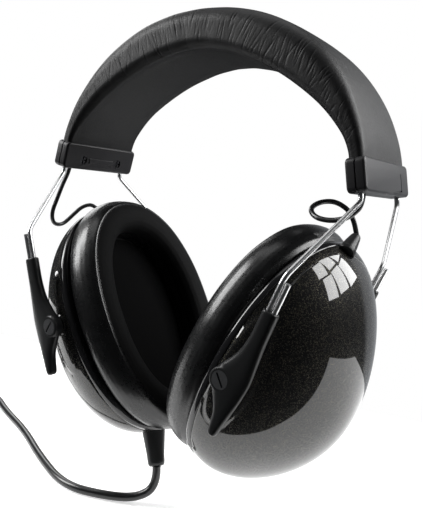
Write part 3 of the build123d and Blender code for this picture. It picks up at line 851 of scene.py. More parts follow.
# ---- headband -------------------------------------------------------------------------------------------------
@dataclass
class Headband:
    """The padded band, its end blocks and its spring wires."""

    wardrobe: Wardrobe
    crown: float = 17.6 * MM
    end_half: float = 3.0 * MM
    half_width: float = 23.7 * MM
    flare: float = 11.8
    foot_up: float = 2.65 * MM
    bend_up: float = 7.15 * MM
    outer_pulls: tuple[float, float] = (32.0 * MM, 46.0 * MM)
    inner_pulls: tuple[float, float] = (16.0 * MM, 31.0 * MM)
    outer_roll: float = 7.2 * MM
    inner_roll: float = 4.6 * MM
    roll_share: tuple[float, float] = (0.82, 0.62)
    steps: int = 700
    edge_samples: int = 400
    corner_points: int = 13
    flat_points: int = 14
    side_points: int = 5
    puff: float = 0.9 * MM
    seam_in: float = 4.6 * MM
    seam_depth: float = 0.35 * MM
    gather_pitch: float = 1.25 * MM
    gather_depth: float = 0.13 * MM
    gather_margin: float = 6 * MM
    gather_reach: tuple[float, float] = (2.5, 6.5)
    gather_width: tuple[float, float] = (0.2, 0.4)
    wave_depth: float = 0.05 * MM
    wave_pitches: tuple[float, float] = (2.9 * MM, 17 * MM)
    seed: int = 7
    block_size: tuple[float, float, float] = (50.0 * MM, 13.3 * MM, 7.9 * MM)
    block_corner: float = 2.3 * MM
    block_edge: float = 1.1 * MM
    block_seam: float = 0.06 * MM
    groove_line: Pairs = ((15.5 * MM, 2.2 * MM), (15.5 * MM, -4.6 * MM), (-4.0 * MM, -6.65 * MM))
    groove_width: float = 0.6 * MM
    groove_depth: float = 0.5 * MM
    screw_y: float = 12.5 * MM
    screw_up: float = -1.6 * MM
    screw_seat: float = 2.34 * MM
    screw_sink: float = 1.62 * MM
    bar_size: tuple[float, float] = (8.6 * MM, 1.3 * MM)

    def _block_line(self, across: float, up: float) -> np.ndarray:
        """A point of the right block's own frame, as X and Z.

        Args:
            across: How far it is outward from the block's middle.
            up: How far it is up the block.

        Returns:
            The point.
        """
        x, _, z = node_centre("right_block_inner_half", "right_block_outer_half")
        a = radians(self.flare)
        return np.array([x + across * cos(a) - up * sin(a), z + across * sin(a) + up * cos(a)])

    def _side_line(self, across: float, crown: float, pulls: tuple[float, float], t: np.ndarray) -> np.ndarray:
        """One long edge of the band's side view, from the block's mouth to the crown.

        Args:
            across: Where the edge leaves the block, outward from its middle.
            crown: The edge's height over the head.
            pulls: How strongly the curve keeps its direction at the block and at the crown.
            t: Where along it each point is, from 0 to 1.

        Returns:
            The points, as X and Z.
        """
        foot = self._block_line(across, self.foot_up)
        bend = self._block_line(across, self.bend_up)
        lift = (bend - foot) / np.linalg.norm(bend - foot)
        return bezier([bend, bend + lift * pulls[0], (pulls[1], crown), (0.0, crown)], t)

    def _stations(self) -> tuple[np.ndarray, np.ndarray]:
        """The side view's edges, evenly spaced from the right block over the head to the left.

        Returns:
            The outer edge's points and the inner edge's.
        """
        t = np.linspace(0, 1, self.edge_samples)
        outer = self._side_line(self.end_half, self.crown, self.outer_pulls, t)
        inner = self._side_line(-self.end_half, 0.0, self.inner_pulls, t)
        middle = (outer + inner) / 2
        run = np.concatenate([[0], np.cumsum(np.linalg.norm(np.diff(middle, axis=0), axis=1))])
        even = np.interp(np.linspace(0, run[-1], self.steps), run, t)
        outer = self._side_line(self.end_half, self.crown, self.outer_pulls, even)
        inner = self._side_line(-self.end_half, 0.0, self.inner_pulls, even)
        foot_out, foot_in = (self._block_line(a, self.foot_up)[None] for a in (self.end_half, -self.end_half))
        outer, inner = np.vstack([foot_out, outer]), np.vstack([foot_in, inner])
        flip = np.array([-1.0, 1.0])
        return np.vstack([outer, outer[-2::-1] * flip]), np.vstack([inner, inner[-2::-1] * flip])

    def _section(self, half_thickness: float) -> tuple[np.ndarray, np.ndarray]:
        """The band's section, with its rolled edges, as Y and height.

        Args:
            half_thickness: Half the band's thickness there.

        Returns:
            The points and their outward directions.
        """
        across, out = [], []
        top_roll = min(self.outer_roll, self.roll_share[0] * half_thickness)
        low_roll = min(self.inner_roll, self.roll_share[1] * half_thickness)
        corners = (
            (half_thickness, self.half_width, top_roll, 90.0),
            (half_thickness, -self.half_width, top_roll, 180.0),
            (-half_thickness, -self.half_width, low_roll, 270.0),
            (-half_thickness, self.half_width, low_roll, 360.0),
        )
        for height, side, roll, end in corners:
            centre = np.array([side - np.sign(side) * roll, height - np.sign(height) * roll])
            for angle in np.radians(np.linspace(end - 90.0, end, self.corner_points)):
                direction = np.array([cos(angle), sin(angle)])
                across.append(centre + roll * direction)
                out.append(direction)
        return self._filled(np.array(across), np.array(out))

    def _filled(self, points: np.ndarray, out: np.ndarray) -> tuple[np.ndarray, np.ndarray]:
        """The section with extra points along its flat stretches.

        Args:
            points: The points of its four rolled corners.
            out: Their outward directions.

        Returns:
            All the points and their outward directions.
        """
        full, full_out = [], []
        for i in range(len(points)):
            full.append(points[i])
            full_out.append(out[i])
            following = (i + 1) % len(points)
            corners, past = divmod(i + 1, self.corner_points)
            if past == 0:
                extra = self.flat_points if corners % 2 == 1 else self.side_points
                for t in np.linspace(0, 1, extra + 2)[1:-1]:
                    full.append(points[i] * (1 - t) + points[following] * t)
                    full_out.append(out[i])
        return np.array(full), np.array(full_out)

    def _gathers(self, run: np.ndarray, section: np.ndarray) -> np.ndarray:
        """How far the cover dips at each point: fine folds round its front and rear edges.

        Args:
            run: Distance along the band of each station.
            section: The crown's section, as Y and height.

        Returns:
            Depths, by station and point of the section.
        """
        rng = np.random.default_rng(self.seed)
        edge = ease((np.abs(section[:, 0]) - 0.62 * self.half_width) / (0.3 * self.half_width))
        girth = np.concatenate([[0], np.cumsum(np.linalg.norm(np.diff(section, axis=0), axis=1))])
        depth = np.zeros((len(run), len(section)))
        for place in np.arange(self.gather_margin, run[-1] - self.gather_margin, self.gather_pitch):
            for side in (-1, 1):
                there = place + rng.normal(0, 0.35) * self.gather_pitch
                slant = rng.normal(0, 0.18)
                centre = girth[np.abs(section - [side * self.half_width, rng.uniform(-6, 7) * MM]).sum(1).argmin()]
                reach = rng.uniform(*self.gather_reach) * MM
                width = rng.uniform(*self.gather_width) * MM
                strength = self.gather_depth * rng.uniform(0.25, 1.0)
                away = np.abs(girth - centre)
                fade = np.where(section[:, 0] * side > 0, np.exp(-((away / reach) ** 4)), 0.0) * edge
                shift = run[:, None] - there - slant * (girth - centre)[None]
                depth += strength * fade[None] * np.exp(-((shift / width) ** 2))
        fine, slow = self.wave_pitches
        waves = self.wave_depth * np.sin(run[:, None] / fine + 3 * np.sin(run[:, None] / slow))
        return depth + waves * edge[None]

    def build_cover(self) -> None:
        """The cover and its filling, as one closed padded form."""
        outer, inner = self._stations()
        middle = (outer + inner) / 2
        run = np.concatenate([[0], np.cumsum(np.linalg.norm(np.diff(middle, axis=0), axis=1))])
        halves = np.linalg.norm(outer - inner, axis=1) / 2
        crown_section, _ = self._section(halves.max())
        gathers = self._gathers(run, crown_section)
        rings = []
        for i, (top, low, half) in enumerate(zip(outer, inner, halves)):
            section, out = self._section(half)
            rise = (top - low) / (2 * half)
            crowned = ease((1 - (section[:, 0] / self.half_width) ** 2) * 0.9) * self.puff
            puff = np.where(section[:, 1] > 0, crowned, 0.35 * crowned) * ease(np.array(half / (6 * MM)))
            seam = np.abs(np.abs(section[:, 0]) - self.half_width + self.seam_in) / (0.5 * MM)
            groove = np.where(section[:, 1] < -0.9 * half, self.seam_depth * np.exp(-(seam**2)), 0.0)
            taper = ease(np.array(min(run[i], run[-1] - run[i]) / (9 * MM) - 0.4))
            push = (puff - groove - gathers[i] * min(1.0, half / (5 * MM))) * taper
            local = section + out * push[:, None]
            centre = (top + low) / 2
            x, z = (centre[k] + rise[k] * local[:, 1] for k in (0, 1))
            rings.append(np.stack([x, local[:, 0], z], axis=1))
        cover = skin("headband_padding", rings, crease=80)
        self.wardrobe.place(cover, Finish.BAND, "headband", ["headband_cover", "headband_foam"])

    def _block_outline(self, inset: float) -> np.ndarray:
        """A block's rounded outline, as front-to-back and up, drawn in by an inset.

        Args:
            inset: How far it is inside the block's own outline.

        Returns:
            The outline's points.
        """
        long, high = self.block_size[0] / 2 - inset, self.block_size[1] / 2 - inset
        radius = max(self.block_corner - inset, 0.3 * MM)
        points = []
        for y_way, z_way, start in ((1, 1, 0), (-1, 1, 90), (-1, -1, 180), (1, -1, 270)):
            centre = np.array([y_way * (long - radius), z_way * (high - radius)])
            for angle in np.radians(np.linspace(start, start + 90, 10)):
                points.append(centre + radius * np.array([cos(angle), sin(angle)]))
        return np.array(points)

    def _block_half(self, way: int) -> bpy.types.Object:
        """One half of a block in the block's own frame: across, front to back, up.

        Args:
            way: 1 for the half away from the head, -1 for the half towards it.

        Returns:
            The half, not yet placed.
        """
        face, edge = self.block_size[2] / 2, self.block_edge
        stations = [(self.block_seam, 0.35 * MM), (self.block_seam + 0.3 * MM, 0.0)]
        for angle in np.radians(np.linspace(0, 90, 8)):
            stations.append((face - edge + edge * sin(angle), edge - edge * cos(angle)))
        rings = []
        for across, inset in stations:
            outline = self._block_outline(inset)
            rings.append(np.column_stack([np.full(len(outline), way * across), outline]))
        half = skin("block_half", rings)
        if way > 0:
            for a, b in zip(self.groove_line, self.groove_line[1:]):
                carved(half, self._groove(np.array(a), np.array(b), face), "DIFFERENCE")
        else:
            self._dress_inner_face(half, face)
        return half

    def _groove(self, a: np.ndarray, b: np.ndarray, face: float) -> bpy.types.Object:
        """A thin bar along one run of the outer face's groove.

        Args:
            a: The run's first point, along Y and up the block.
            b: Its last point.
            face: How far the face is from the block's seam.

        Returns:
            The bar, to be cut out of the block.
        """
        run = (b - a) / np.linalg.norm(b - a)
        side = np.array([-run[1], run[0]]) * self.groove_width / 2
        ends = (a - run * self.groove_width / 2, b + run * self.groove_width / 2)
        rings = []
        for end in ends:
            corners = ((-self.groove_depth, side), (1 * MM, side), (1 * MM, -side), (-self.groove_depth, -side))
            rings.append([(face + out, *(end + aside)) for out, aside in corners])
        return skin("groove", rings)

    def _dress_inner_face(self, half: bpy.types.Object, face: float) -> None:
        """Sinks the screw seats and raises the bar between them.

        Args:
            half: The inner half.
            face: How far its face is from the block's seam.
        """
        for y in (self.screw_y, -self.screw_y):
            start = (-face + self.screw_sink, y, self.screw_up)
            bore = [(0.0, self.screw_seat), (3 * MM, self.screw_seat)]
            seat = turned("screw_seat", start, (-1, 0, 0), bore, 40)
            carved(half, seat, "DIFFERENCE")
        long, high = self.bar_size
        rings = []
        corners = ((1, 1), (-1, 1), (-1, -1), (1, -1))
        for out, inset in ((0.3 * MM, 0.0), (-0.15 * MM, 0.0), (-0.3 * MM, 0.15 * MM)):
            rings.append([(-face + out, y * (long - inset), self.screw_up + z * (high - inset)) for y, z in corners])
        carved(half, skin("bar", rings), "UNION")

    def build_blocks(self) -> None:
        """The four block halves, rounded, with their groove, bar and screw seats."""
        x, _, z = node_centre("right_block_inner_half", "right_block_outer_half")
        a = radians(self.flare)
        for half, way in (("outer", 1), ("inner", -1)):
            pattern = self._block_half(way)
            own = corners_of(pattern)
            out = x + own[:, 0] * cos(a) - own[:, 2] * sin(a)
            up = z + own[:, 0] * sin(a) + own[:, 2] * cos(a)
            placed = np.stack([out, own[:, 1], up], axis=1)
            for side in (RIGHT, LEFT):
                piece = copied(pattern, side.node(f"block_{half}"), side.mirrored(placed), crease=30)
                self.wardrobe.place(piece, Finish.BLOCK, "headband", [side.node(f"block_{half}_half")])
            bpy.data.objects.remove(pattern, do_unlink=True)

    def build(self) -> None:
        """The band with its blocks and wires."""
        self.build_cover()
        self.build_blocks()
        self.wardrobe.dress_node("block_screws", Finish.SCREW)
        for wire in ("front_spring_wire", "rear_spring_wire"):
            self.wardrobe.dress_node(wire, Finish.WIRE)
        self.wardrobe.dress_node("crossover_lead", Finish.LEAD)


# ---- arms -----------------------------------------------------------------------------------------------------
@dataclass
class Arms:
    """The slotted plastic arms that carry the cups, and their bores."""

    wardrobe: Wardrobe
    lean: float = 20.5
    thickness: float = 4.6 * MM
    inner_y: float = 48.0 * MM
    boss_radius: float = 5.0 * MM
    head_hole: float = 3.66 * MM
    head_depth: float = 1.56 * MM
    bore_offset: float = 6.1 * MM
    bore_half: tuple[float, float] = (2.38 * MM, 1.13 * MM)
    bore_bottom: float = 6.5 * MM
    top: float = 33.2 * MM
    foot: float = -21.7 * MM
    inboard: Pairs = (
        (-21.7, 3.9),
        (-12.0, 2.2),
        (-5.0, -2.4),
        (-1.5, -4.8),
        (2.0, -4.6),
        (6.0, -2.8),
        (10.0, -0.2),
        (15.0, 1.8),
        (22.0, 2.9),
        (33.2, 2.9),
    )
    outboard: Pairs = ((-21.7, 7.5), (-12.0, 8.9), (-4.0, 10.2), (4.0, 11.0), (12.0, 10.3), (20.0, 9.6), (33.2, 9.3))
    squareness: float = 2.7
    foot_round: float = 2.2 * MM
    top_round: float = 0.5 * MM
    boss_rim: float = 0.45 * MM
    softening: int = 9
    voxel: float = 0.3 * MM
    relax_steps: int = 6

    def _bar(self) -> bpy.types.Object:
        """The tapered bar with its boss, in the arm's own frame: outboard, front, up the arm.

        Returns:
            The bar.
        """
        up = np.linspace(self.foot, self.top, 90)
        knots_in, knots_out = np.array(self.inboard) * MM, np.array(self.outboard) * MM
        soft = np.ones(self.softening) / self.softening
        reach = self.softening // 2
        inner = np.interp(up, knots_in[:, 0], knots_in[:, 1])
        outer = np.interp(up, knots_out[:, 0], knots_out[:, 1])
        inner = np.convolve(np.pad(inner, reach, mode="edge"), soft, mode="valid")
        outer = np.convolve(np.pad(outer, reach, mode="edge"), soft, mode="valid")
        angles = np.linspace(0, 2 * pi, 48, endpoint=False)
        rings = []
        for z, low, high in zip(up, inner, outer):
            end = min((z - self.foot) / self.foot_round, 1.0)
            rim = min((self.top - z) / self.top_round, 1.0)
            squeeze = (0.62 + 0.38 * (1 - (1 - end) ** 2) ** 0.5) * (0.9 + 0.1 * rim**0.5)
            section = oval(angles, (high - low) / 2 * squeeze, self.thickness / 2 * squeeze, self.squareness)
            x = (low + high) / 2 + section[:, 0]
            rings.append(np.stack([x, section[:, 1], np.full_like(x, z)], axis=1))
        bar = skin("arm_bar", rings)
        half, rim = self.thickness / 2, self.boss_rim
        bevel = self.boss_radius - rim
        disc = [(-half, bevel), (-half + rim, self.boss_radius), (half - rim, self.boss_radius), (half, bevel)]
        carved(bar, turned("arm_boss", (0, 0, 0), (0, 1, 0), disc, 96), "UNION")
        return bar

    def _pattern(self) -> bpy.types.Object:
        """The finished arm in its own frame: bar, head seat and bore.

        Returns:
            The arm, not yet placed.
        """
        bar = self._bar()
        remesh = bar.modifiers.new("even", "REMESH")
        remesh.mode = "VOXEL"
        remesh.voxel_size = self.voxel
        relax = bar.modifiers.new("relax", "SMOOTH")
        relax.factor = 0.5
        relax.iterations = self.relax_steps
        baked(bar)
        half = self.thickness / 2
        hole = [(half - self.head_depth, self.head_hole), (half + 2 * MM, self.head_hole)]
        carved(bar, turned("head_seat", (0, 0, 0), (0, -1, 0), hole, 96), "DIFFERENCE")
        angles = np.linspace(0, 2 * pi, 64, endpoint=False)
        section = oval(angles, self.bore_half[0], self.bore_half[1], 3.0)
        rings = [
            np.stack([self.bore_offset + section[:, 0], section[:, 1], np.full(64, z)], axis=1)
            for z in (self.bore_bottom, self.top + 2 * MM)
        ]
        carved(bar, skin("hairpin_bore", rings), "DIFFERENCE")
        return bar

    def build(self) -> None:
        """All four arms, each a mirrored copy of one."""
        pattern = self._pattern()
        own = corners_of(pattern)
        pivot = joint_place("right_tilt")
        a = radians(self.lean)
        x = pivot[0] + own[:, 0] * cos(a) + own[:, 2] * sin(a)
        z = pivot[2] - own[:, 0] * sin(a) + own[:, 2] * cos(a)
        y = own[:, 1] - self.inner_y - self.thickness / 2
        placed = np.stack([x, y, z], axis=1)
        for side in (RIGHT, LEFT):
            for end, way in (("front", 1.0), ("rear", -1.0)):
                points = side.mirrored(placed) * np.array([1.0, way, 1.0])
                arm = copied(pattern, f"{side.name}_{end}_arm_moulding", points, crease=40)
                self.wardrobe.place(arm, Finish.ARM, side.arms, [side.node(f"{end}_arm")])
        bpy.data.objects.remove(pattern, do_unlink=True)


# ---- cups -----------------------------------------------------------------------------------------------------
@dataclass
class Cup:
    """One ear cup: shell, ring, cushion and what is inside."""

    wardrobe: Wardrobe
    side: Side
    toe: float = 3.3
    rake: float = 3.7
    half_height: float = 58.2 * MM
    half_width: float = 46.5 * MM
    squareness: float = 2.19
    depth: float = 41.2 * MM
    fullness: float = 0.467
    seam_x: float = -3.3 * MM
    centre_z: float = -2.85 * MM
    apex_drop: float = 7.9 * MM
    wall: float = 2.4 * MM
    land_proud: float = 0.55 * MM
    land: Pairs = (
        (-5.0, 27.0),
        (4.5, 26.0),
        (7.2, 14.0),
        (9.4, 2.0),
        (9.6, -6.0),
        (8.2, -15.0),
        (4.5, -24.0),
        (-5.0, -20.0),
    )
    land_rounding: int = 3
    land_fade: tuple[float, float] = (0.9, 1.4)
    land_from: float = 30 * MM
    ring_depth: float = 3.6 * MM
    ring_section: Pairs = (
        (0.05, -5.2),
        (2.5, -5.2),
        (2.5, -3.6),
        (0.05, -3.6),
        (-0.05, -0.3),
        (-0.35, 0.15),
        (-0.8, 0.3),
        (-2.2, 0.3),
        (-3.0, 0.1),
        (-3.45, -0.5),
        (-3.6, -1.4),
        (-3.6, -8.0),
        (-1.7, -8.2),
        (-1.6, -11.0),
        (0.05, -11.0),
    )
    hole_half_height: float = 42.3 * MM
    hole_half_width: float = 29.1 * MM
    cushion_width: float = 17.4 * MM
    cushion_height: float = 18.5 * MM
    cushion_section: Pairs = (
        (0.15, 0.0),
        (0.75, 0.02),
        (0.86, 0.06),
        (0.95, 0.16),
        (0.995, 0.3),
        (1.0, 0.42),
        (0.985, 0.56),
        (0.945, 0.7),
        (0.885, 0.815),
        (0.825, 0.885),
        (0.78, 0.92),
        (0.745, 0.925),
        (0.69, 0.948),
        (0.59, 0.982),
        (0.46, 1.0),
        (0.33, 0.99),
        (0.2, 0.955),
        (0.1, 0.88),
        (0.035, 0.75),
        (0.005, 0.58),
        (0.0, 0.4),
        (0.02, 0.2),
        (0.06, 0.05),
    )
    face_share: tuple[float, float] = (11.4, 19.5)
    pads_radius: float = 5.2 * MM
    pad_reach: tuple[float, float] = (43.7 * MM, 47.7 * MM)
    pad_round: float = 0.5 * MM
    relief_x: float = -0.6 * MM
    relief_z: float = 54.6 * MM
    cord_base: tuple[float, float, float] = (1.5 * MM, -7.0 * MM, -59.6 * MM)
    swell_limit: float = 0.9 * MM
    swell_steps: int = 20
    unevenness: tuple[int, ...] = (2, 3, 5, 8, 13)
    seam_at: float = 10.4
    seed: int = 3
    screen_half_width: float = 28.4 * MM
    screen_half_height: float = 41.6 * MM
    screen_stand: float = 1.3 * MM
    screen_sag: float = 0.5 * MM
    screen_ripple: float = 0.12 * MM
    shell_rows: int = 84
    shell_around: int = 360
    lining_rows: int = 14
    lip_step: float = 0.12 * MM
    ring_around: int = 240
    cushion_around: int = 220
    screen_around: int = 120

    def to_frame(self, points: Any) -> np.ndarray:
        """Points of the cup's own frame, in the object's frame.

        Args:
            points: The points, drawn as for the right cup.

        Returns:
            The points where this cup has them.
        """
        skew = Matrix.Rotation(radians(-self.toe), 3, "Z") @ Matrix.Rotation(radians(self.rake), 3, "X")
        turn = Matrix.Rotation(radians(self.side.tilt), 3, "Y") @ skew
        pivot = joint_place(self.side.node("tilt")) * np.array([self.side.way, 1, 1])
        placed = np.asarray(points, float) @ np.array(turn).T + pivot
        return self.side.mirrored(placed)

    def _pivot_frame(self, points: np.ndarray) -> np.ndarray:
        """Points of the cup's own frame, square to the pivot's axis."""
        skew = Matrix.Rotation(radians(-self.toe), 3, "Z") @ Matrix.Rotation(radians(self.rake), 3, "X")
        return points @ np.array(skew).T

    def _land_height(self, points: np.ndarray) -> np.ndarray:
        """How much the low field behind each arm stands up at each point.

        Args:
            points: Points of the shell, in the cup's own frame.

        Returns:
            The height at each point.
        """
        seen = self._pivot_frame(points.reshape(-1, 3))
        flat = seen[:, [0, 2]] / MM
        outline = np.array(self.land)
        for _ in range(self.land_rounding):
            following = np.roll(outline, -1, axis=0)
            outline = np.stack([0.75 * outline + 0.25 * following, 0.25 * outline + 0.75 * following], axis=1)
            outline = outline.reshape(-1, 2)
        nearest = np.full(len(flat), np.inf)
        inside = np.zeros(len(flat), bool)
        for a, b in zip(outline, np.roll(outline, -1, axis=0)):
            run = b - a
            t = np.clip(((flat - a) @ run) / (run @ run), 0, 1)
            nearest = np.minimum(nearest, np.linalg.norm(flat - a - t[:, None] * run, axis=1))
            crosses = (a[1] > flat[:, 1]) != (b[1] > flat[:, 1])
            at = a[0] + (flat[:, 1] - a[1]) / (b[1] - a[1] + 1e-12) * run[0]
            inside ^= crosses & (flat[:, 0] < at)
        signed = np.where(inside, nearest, -nearest)
        beside = np.abs(seen[:, 1]) > self.land_from
        start, width = self.land_fade
        height = self.land_proud * ease((signed + start) / width) * beside
        return height.reshape(points.shape[:-1])

    def _bowl(self, inset: float, rows: int, around: int) -> np.ndarray:
        """The shell's surface drawn in by an inset: rows from the seam to the apex.

        Args:
            inset: How far it is inside the outer surface.
            rows: How many rows it has, the apex among them.
            around: How many points each row has.

        Returns:
            The points, by row.
        """
        depth = self.depth - inset
        t = np.linspace(0, 1, rows) ** 0.9
        k = self.fullness
        curve = bezier([(0, 1), (k * depth, 1), (depth, k), (depth, 0)], t)
        angles = np.linspace(0, 2 * pi, around, endpoint=False)
        rings = []
        for x, share in curve:
            power = 2 + (self.squareness - 2) * share**2
            outline = oval(angles, (self.half_width - inset) * share, (self.half_height - inset) * share, power)
            drop = self.apex_drop * x / self.depth
            z = outline[:, 1] + self.centre_z - drop
            rings.append(np.stack([np.full(around, x + self.seam_x), outline[:, 0], z], axis=1))
        return np.array(rings)

    def build_shell(self) -> None:
        """The lacquered shell with the low fields behind its arms, and its pivot pads."""
        outside = self._bowl(0.0, self.shell_rows, self.shell_around)[:-1]
        along = np.gradient(outside, axis=0)
        across = np.roll(outside, -1, axis=1) - np.roll(outside, 1, axis=1)
        normal = np.cross(across, along)
        normal /= np.linalg.norm(normal, axis=2, keepdims=True)
        middle = np.array([self.seam_x, 0, self.centre_z])
        normal *= np.sign(((outside - middle) * normal).sum(axis=2, keepdims=True))
        outside = outside + normal * self._land_height(outside)[..., None]
        inside = self._bowl(self.wall, self.lining_rows, self.shell_around)[:-1]
        seam_lip = outside[:1] * np.array([1, 0.997, 0.997]) + np.array([-self.lip_step, 0, -0.003 * self.centre_z])
        rings = np.concatenate([inside[::-1], inside[:1] - [self.lip_step, 0, 0], seam_lip, outside])
        placed = self.to_frame(rings.reshape(-1, 3)).reshape(rings.shape)
        shell = skin(self.side.node("shell_bowl"), placed, crease=50)
        self.wardrobe.place(shell, Finish.SHELL, self.side.cup, [self.side.node("shell")])
        pivot = joint_place(self.side.node("tilt"))
        (low, high), wide, bevel = self.pad_reach, self.pads_radius, self.pad_round
        pad = [(low, wide), (high - bevel, wide), (high, wide - bevel)]
        for name, way in (("front", -1), ("rear", 1)):
            piece = turned(self.side.node(f"{name}_pivot_pad"), pivot, (0, way, 0), pad, 64)
            self.wardrobe.place(piece, Finish.SHELL, self.side.cup)

    def build_ring(self) -> None:
        """The glossy ring that closes the shell."""
        angles = np.linspace(0, 2 * pi, self.ring_around, endpoint=False)
        section = np.array(self.ring_section) * MM
        rings = []
        for angle in angles:
            ring = []
            for x, out in section:
                y, z = oval(np.array([angle]), self.half_width + out, self.half_height + out, self.squareness)[0]
                ring.append((self.seam_x + x, y, z + self.centre_z))
            rings.append(ring)
        placed = self.to_frame(np.array(rings).reshape(-1, 3)).reshape(len(angles), len(section), 3)
        ring = skin(self.side.node("closing_ring"), placed, ring_loop=True, crease=40)
        self.wardrobe.place(ring, Finish.RING, self.side.cup, [self.side.node("flange_ring")])

    def _cushion_rings(self) -> np.ndarray:
        """The cushion before it swells, in the cup's frame.

        Returns:
            The points, by section round the cushion.
        """
        rng = np.random.default_rng(self.seed + self.side.way)
        angles = np.linspace(0, 2 * pi, self.cushion_around, endpoint=False)
        loop = np.array(self.cushion_section + self.cushion_section[:1])
        at = np.linspace(0, len(loop) - 1, 3 * len(self.cushion_section), endpoint=False)
        section = np.stack([np.interp(at, np.arange(len(loop)), loop[:, k]) for k in (0, 1)], axis=1)
        uneven = sum(
            rng.uniform(0.1, 0.3) * np.sin(wave * angles + rng.uniform(0, 2 * pi)) for wave in self.unevenness
        )
        back_x = self.seam_x - self.ring_depth
        rings = []
        rim_size = (self.hole_half_width + self.cushion_width, self.hole_half_height + self.cushion_width)
        for angle, swell in zip(angles, uneven):
            hole = oval(np.array([angle]), self.hole_half_width, self.hole_half_height, self.squareness)[0]
            rim = oval(np.array([angle]), *rim_size, self.squareness)[0]
            out = section[:, :1] * (1 + 0.008 * swell * section[:, 1:])
            yz = hole * (1 - out) + rim * out
            x = back_x - section[:, 1] * self.cushion_height * (0.965 + 0.006 * swell)
            rings.append(np.stack([x, yz[:, 0], yz[:, 1] + self.centre_z], axis=1))
        return np.array(rings)

    def _swollen(self, piece: bpy.types.Object, held: np.ndarray) -> None:
        """Fills the cushion with pressure, holding its back and its seams.

        Args:
            piece: The cushion, in the cup's frame.
            held: How firmly each vertex is held, from 0 to 1.
        """
        before = corners_of(piece)
        group = piece.vertex_groups.new(name="held")
        for weight in np.unique(held):
            group.add(np.nonzero(held == weight)[0].tolist(), float(weight), "REPLACE")
        cloth = piece.modifiers.new("fill", "CLOTH")
        cloth.settings.vertex_group_mass = "held"
        cloth.settings.use_pressure = True
        cloth.settings.uniform_pressure_force = 4.0
        cloth.settings.effector_weights.gravity = 0.0
        cloth.settings.tension_stiffness = 20.0
        cloth.settings.compression_stiffness = 20.0
        cloth.settings.bending_stiffness = 0.8
        cloth.collision_settings.use_collision = False
        for step in range(1, self.swell_steps + 1):
            bpy.context.scene.frame_set(step)
        baked(piece)
        bpy.context.scene.frame_set(1)
        piece.vertex_groups.clear()
        shift = corners_of(piece) - before
        far = np.linalg.norm(shift, axis=1, keepdims=True)
        shift *= np.minimum(1, self.swell_limit / np.maximum(far, 1e-9))
        after = before + shift
        face = self.seam_x - self.ring_depth - 0.985 * self.cushion_height
        after[:, 0] = np.clip(after[:, 0], face, self.seam_x - self.ring_depth)
        moved(piece, after)

    def build_cushion(self) -> None:
        """The ear cushion, filled and then set on its cup."""
        rings = self._cushion_rings()
        around, points, _ = rings.shape
        name = self.side.node("cushion_ring")
        cushion = skin("cushion_before_filling", rings, ring_loop=True, crease=80)
        share = np.tile(np.linspace(0, len(self.cushion_section), points, endpoint=False), around)
        back = (share < 2.5) | (share > len(self.cushion_section) - 1.5)
        seam = np.abs(share - self.seam_at) < 0.7
        held = np.where(back, 1.0, np.where(seam, 0.9, 0.0))
        self._swollen(cushion, held)
        cushion = rebuilt(cushion, name, self.to_frame(corners_of(cushion)), crease=80)
        self.wardrobe.place(cushion, Finish.CUSHION, self.side.cup, [self.side.node("ear_cushion")])
        cushion.data.materials.append(self.wardrobe.material(Finish.CUSHION_FACE))
        first, last = self.face_share
        for polygon in cushion.data.polygons[: around * points]:
            polygon.material_index = int(first <= share[polygon.index % points] <= last)
        self._soften(cushion)

    def _soften(self, piece: bpy.types.Object) -> None:
        """Adds one subdivision to a soft piece.

        Args:
            piece: The piece.
        """
        finer = piece.modifiers.new("finer", "SUBSURF")
        finer.levels = 1
        finer.render_levels = 1
        baked(piece)
        smooth(piece, 80)

    def build_screen(self) -> None:
        """The thin padded cloth over the driver, a little slack."""
        rng = np.random.default_rng(self.seed + 10)
        angles = np.linspace(0, 2 * pi, self.screen_around, endpoint=False)
        back_x = self.seam_x - self.ring_depth
        rings = []
        for share in np.linspace(1.0, 0.02, 40):
            outline = oval(angles, self.screen_half_width * share, self.screen_half_height * share, self.squareness)
            sag = self.screen_sag * (1 - share**2)
            ripple = self.screen_ripple * np.sin(9 * angles + rng.uniform(0, 0.4)) * share * (1 - share)
            x = back_x - self.screen_stand + sag + ripple
            rings.append(np.stack([x, outline[:, 0], outline[:, 1] + self.centre_z], axis=1))
        rim = rings[0] + np.array([1.25 * MM, 0, 0])
        centre = rings[-1] + np.array([0.9 * MM, 0, 0])
        rings = np.array([centre, rim, *rings])
        placed = self.to_frame(rings.reshape(-1, 3)).reshape(rings.shape)
        screen = skin(self.side.node("driver_cloth"), placed, crease=60)
        self.wardrobe.place(screen, Finish.SCREEN, self.side.cup, [self.side.node("acoustic_screen")])

    def build_inside(self) -> None:
        """Finishes of the pieces that keep their own shape."""
        finishes = {
            "baffle": Finish.BAFFLE,
            "baffle_screws": Finish.INNER_SCREW,
            "driver_frame": Finish.DRIVER,
            "driver_magnet": Finish.MAGNET,
            "diaphragm": Finish.FILM,
            "damping_foam": Finish.FLEECE,
            "pivot_pins": Finish.PIVOT,
        }
        for piece, finish in finishes.items():
            self.wardrobe.dress_node(self.side.node(piece), finish)
        if self.side is LEFT:
            self.wardrobe.dress_node("left_junction_board", Finish.BOARD)

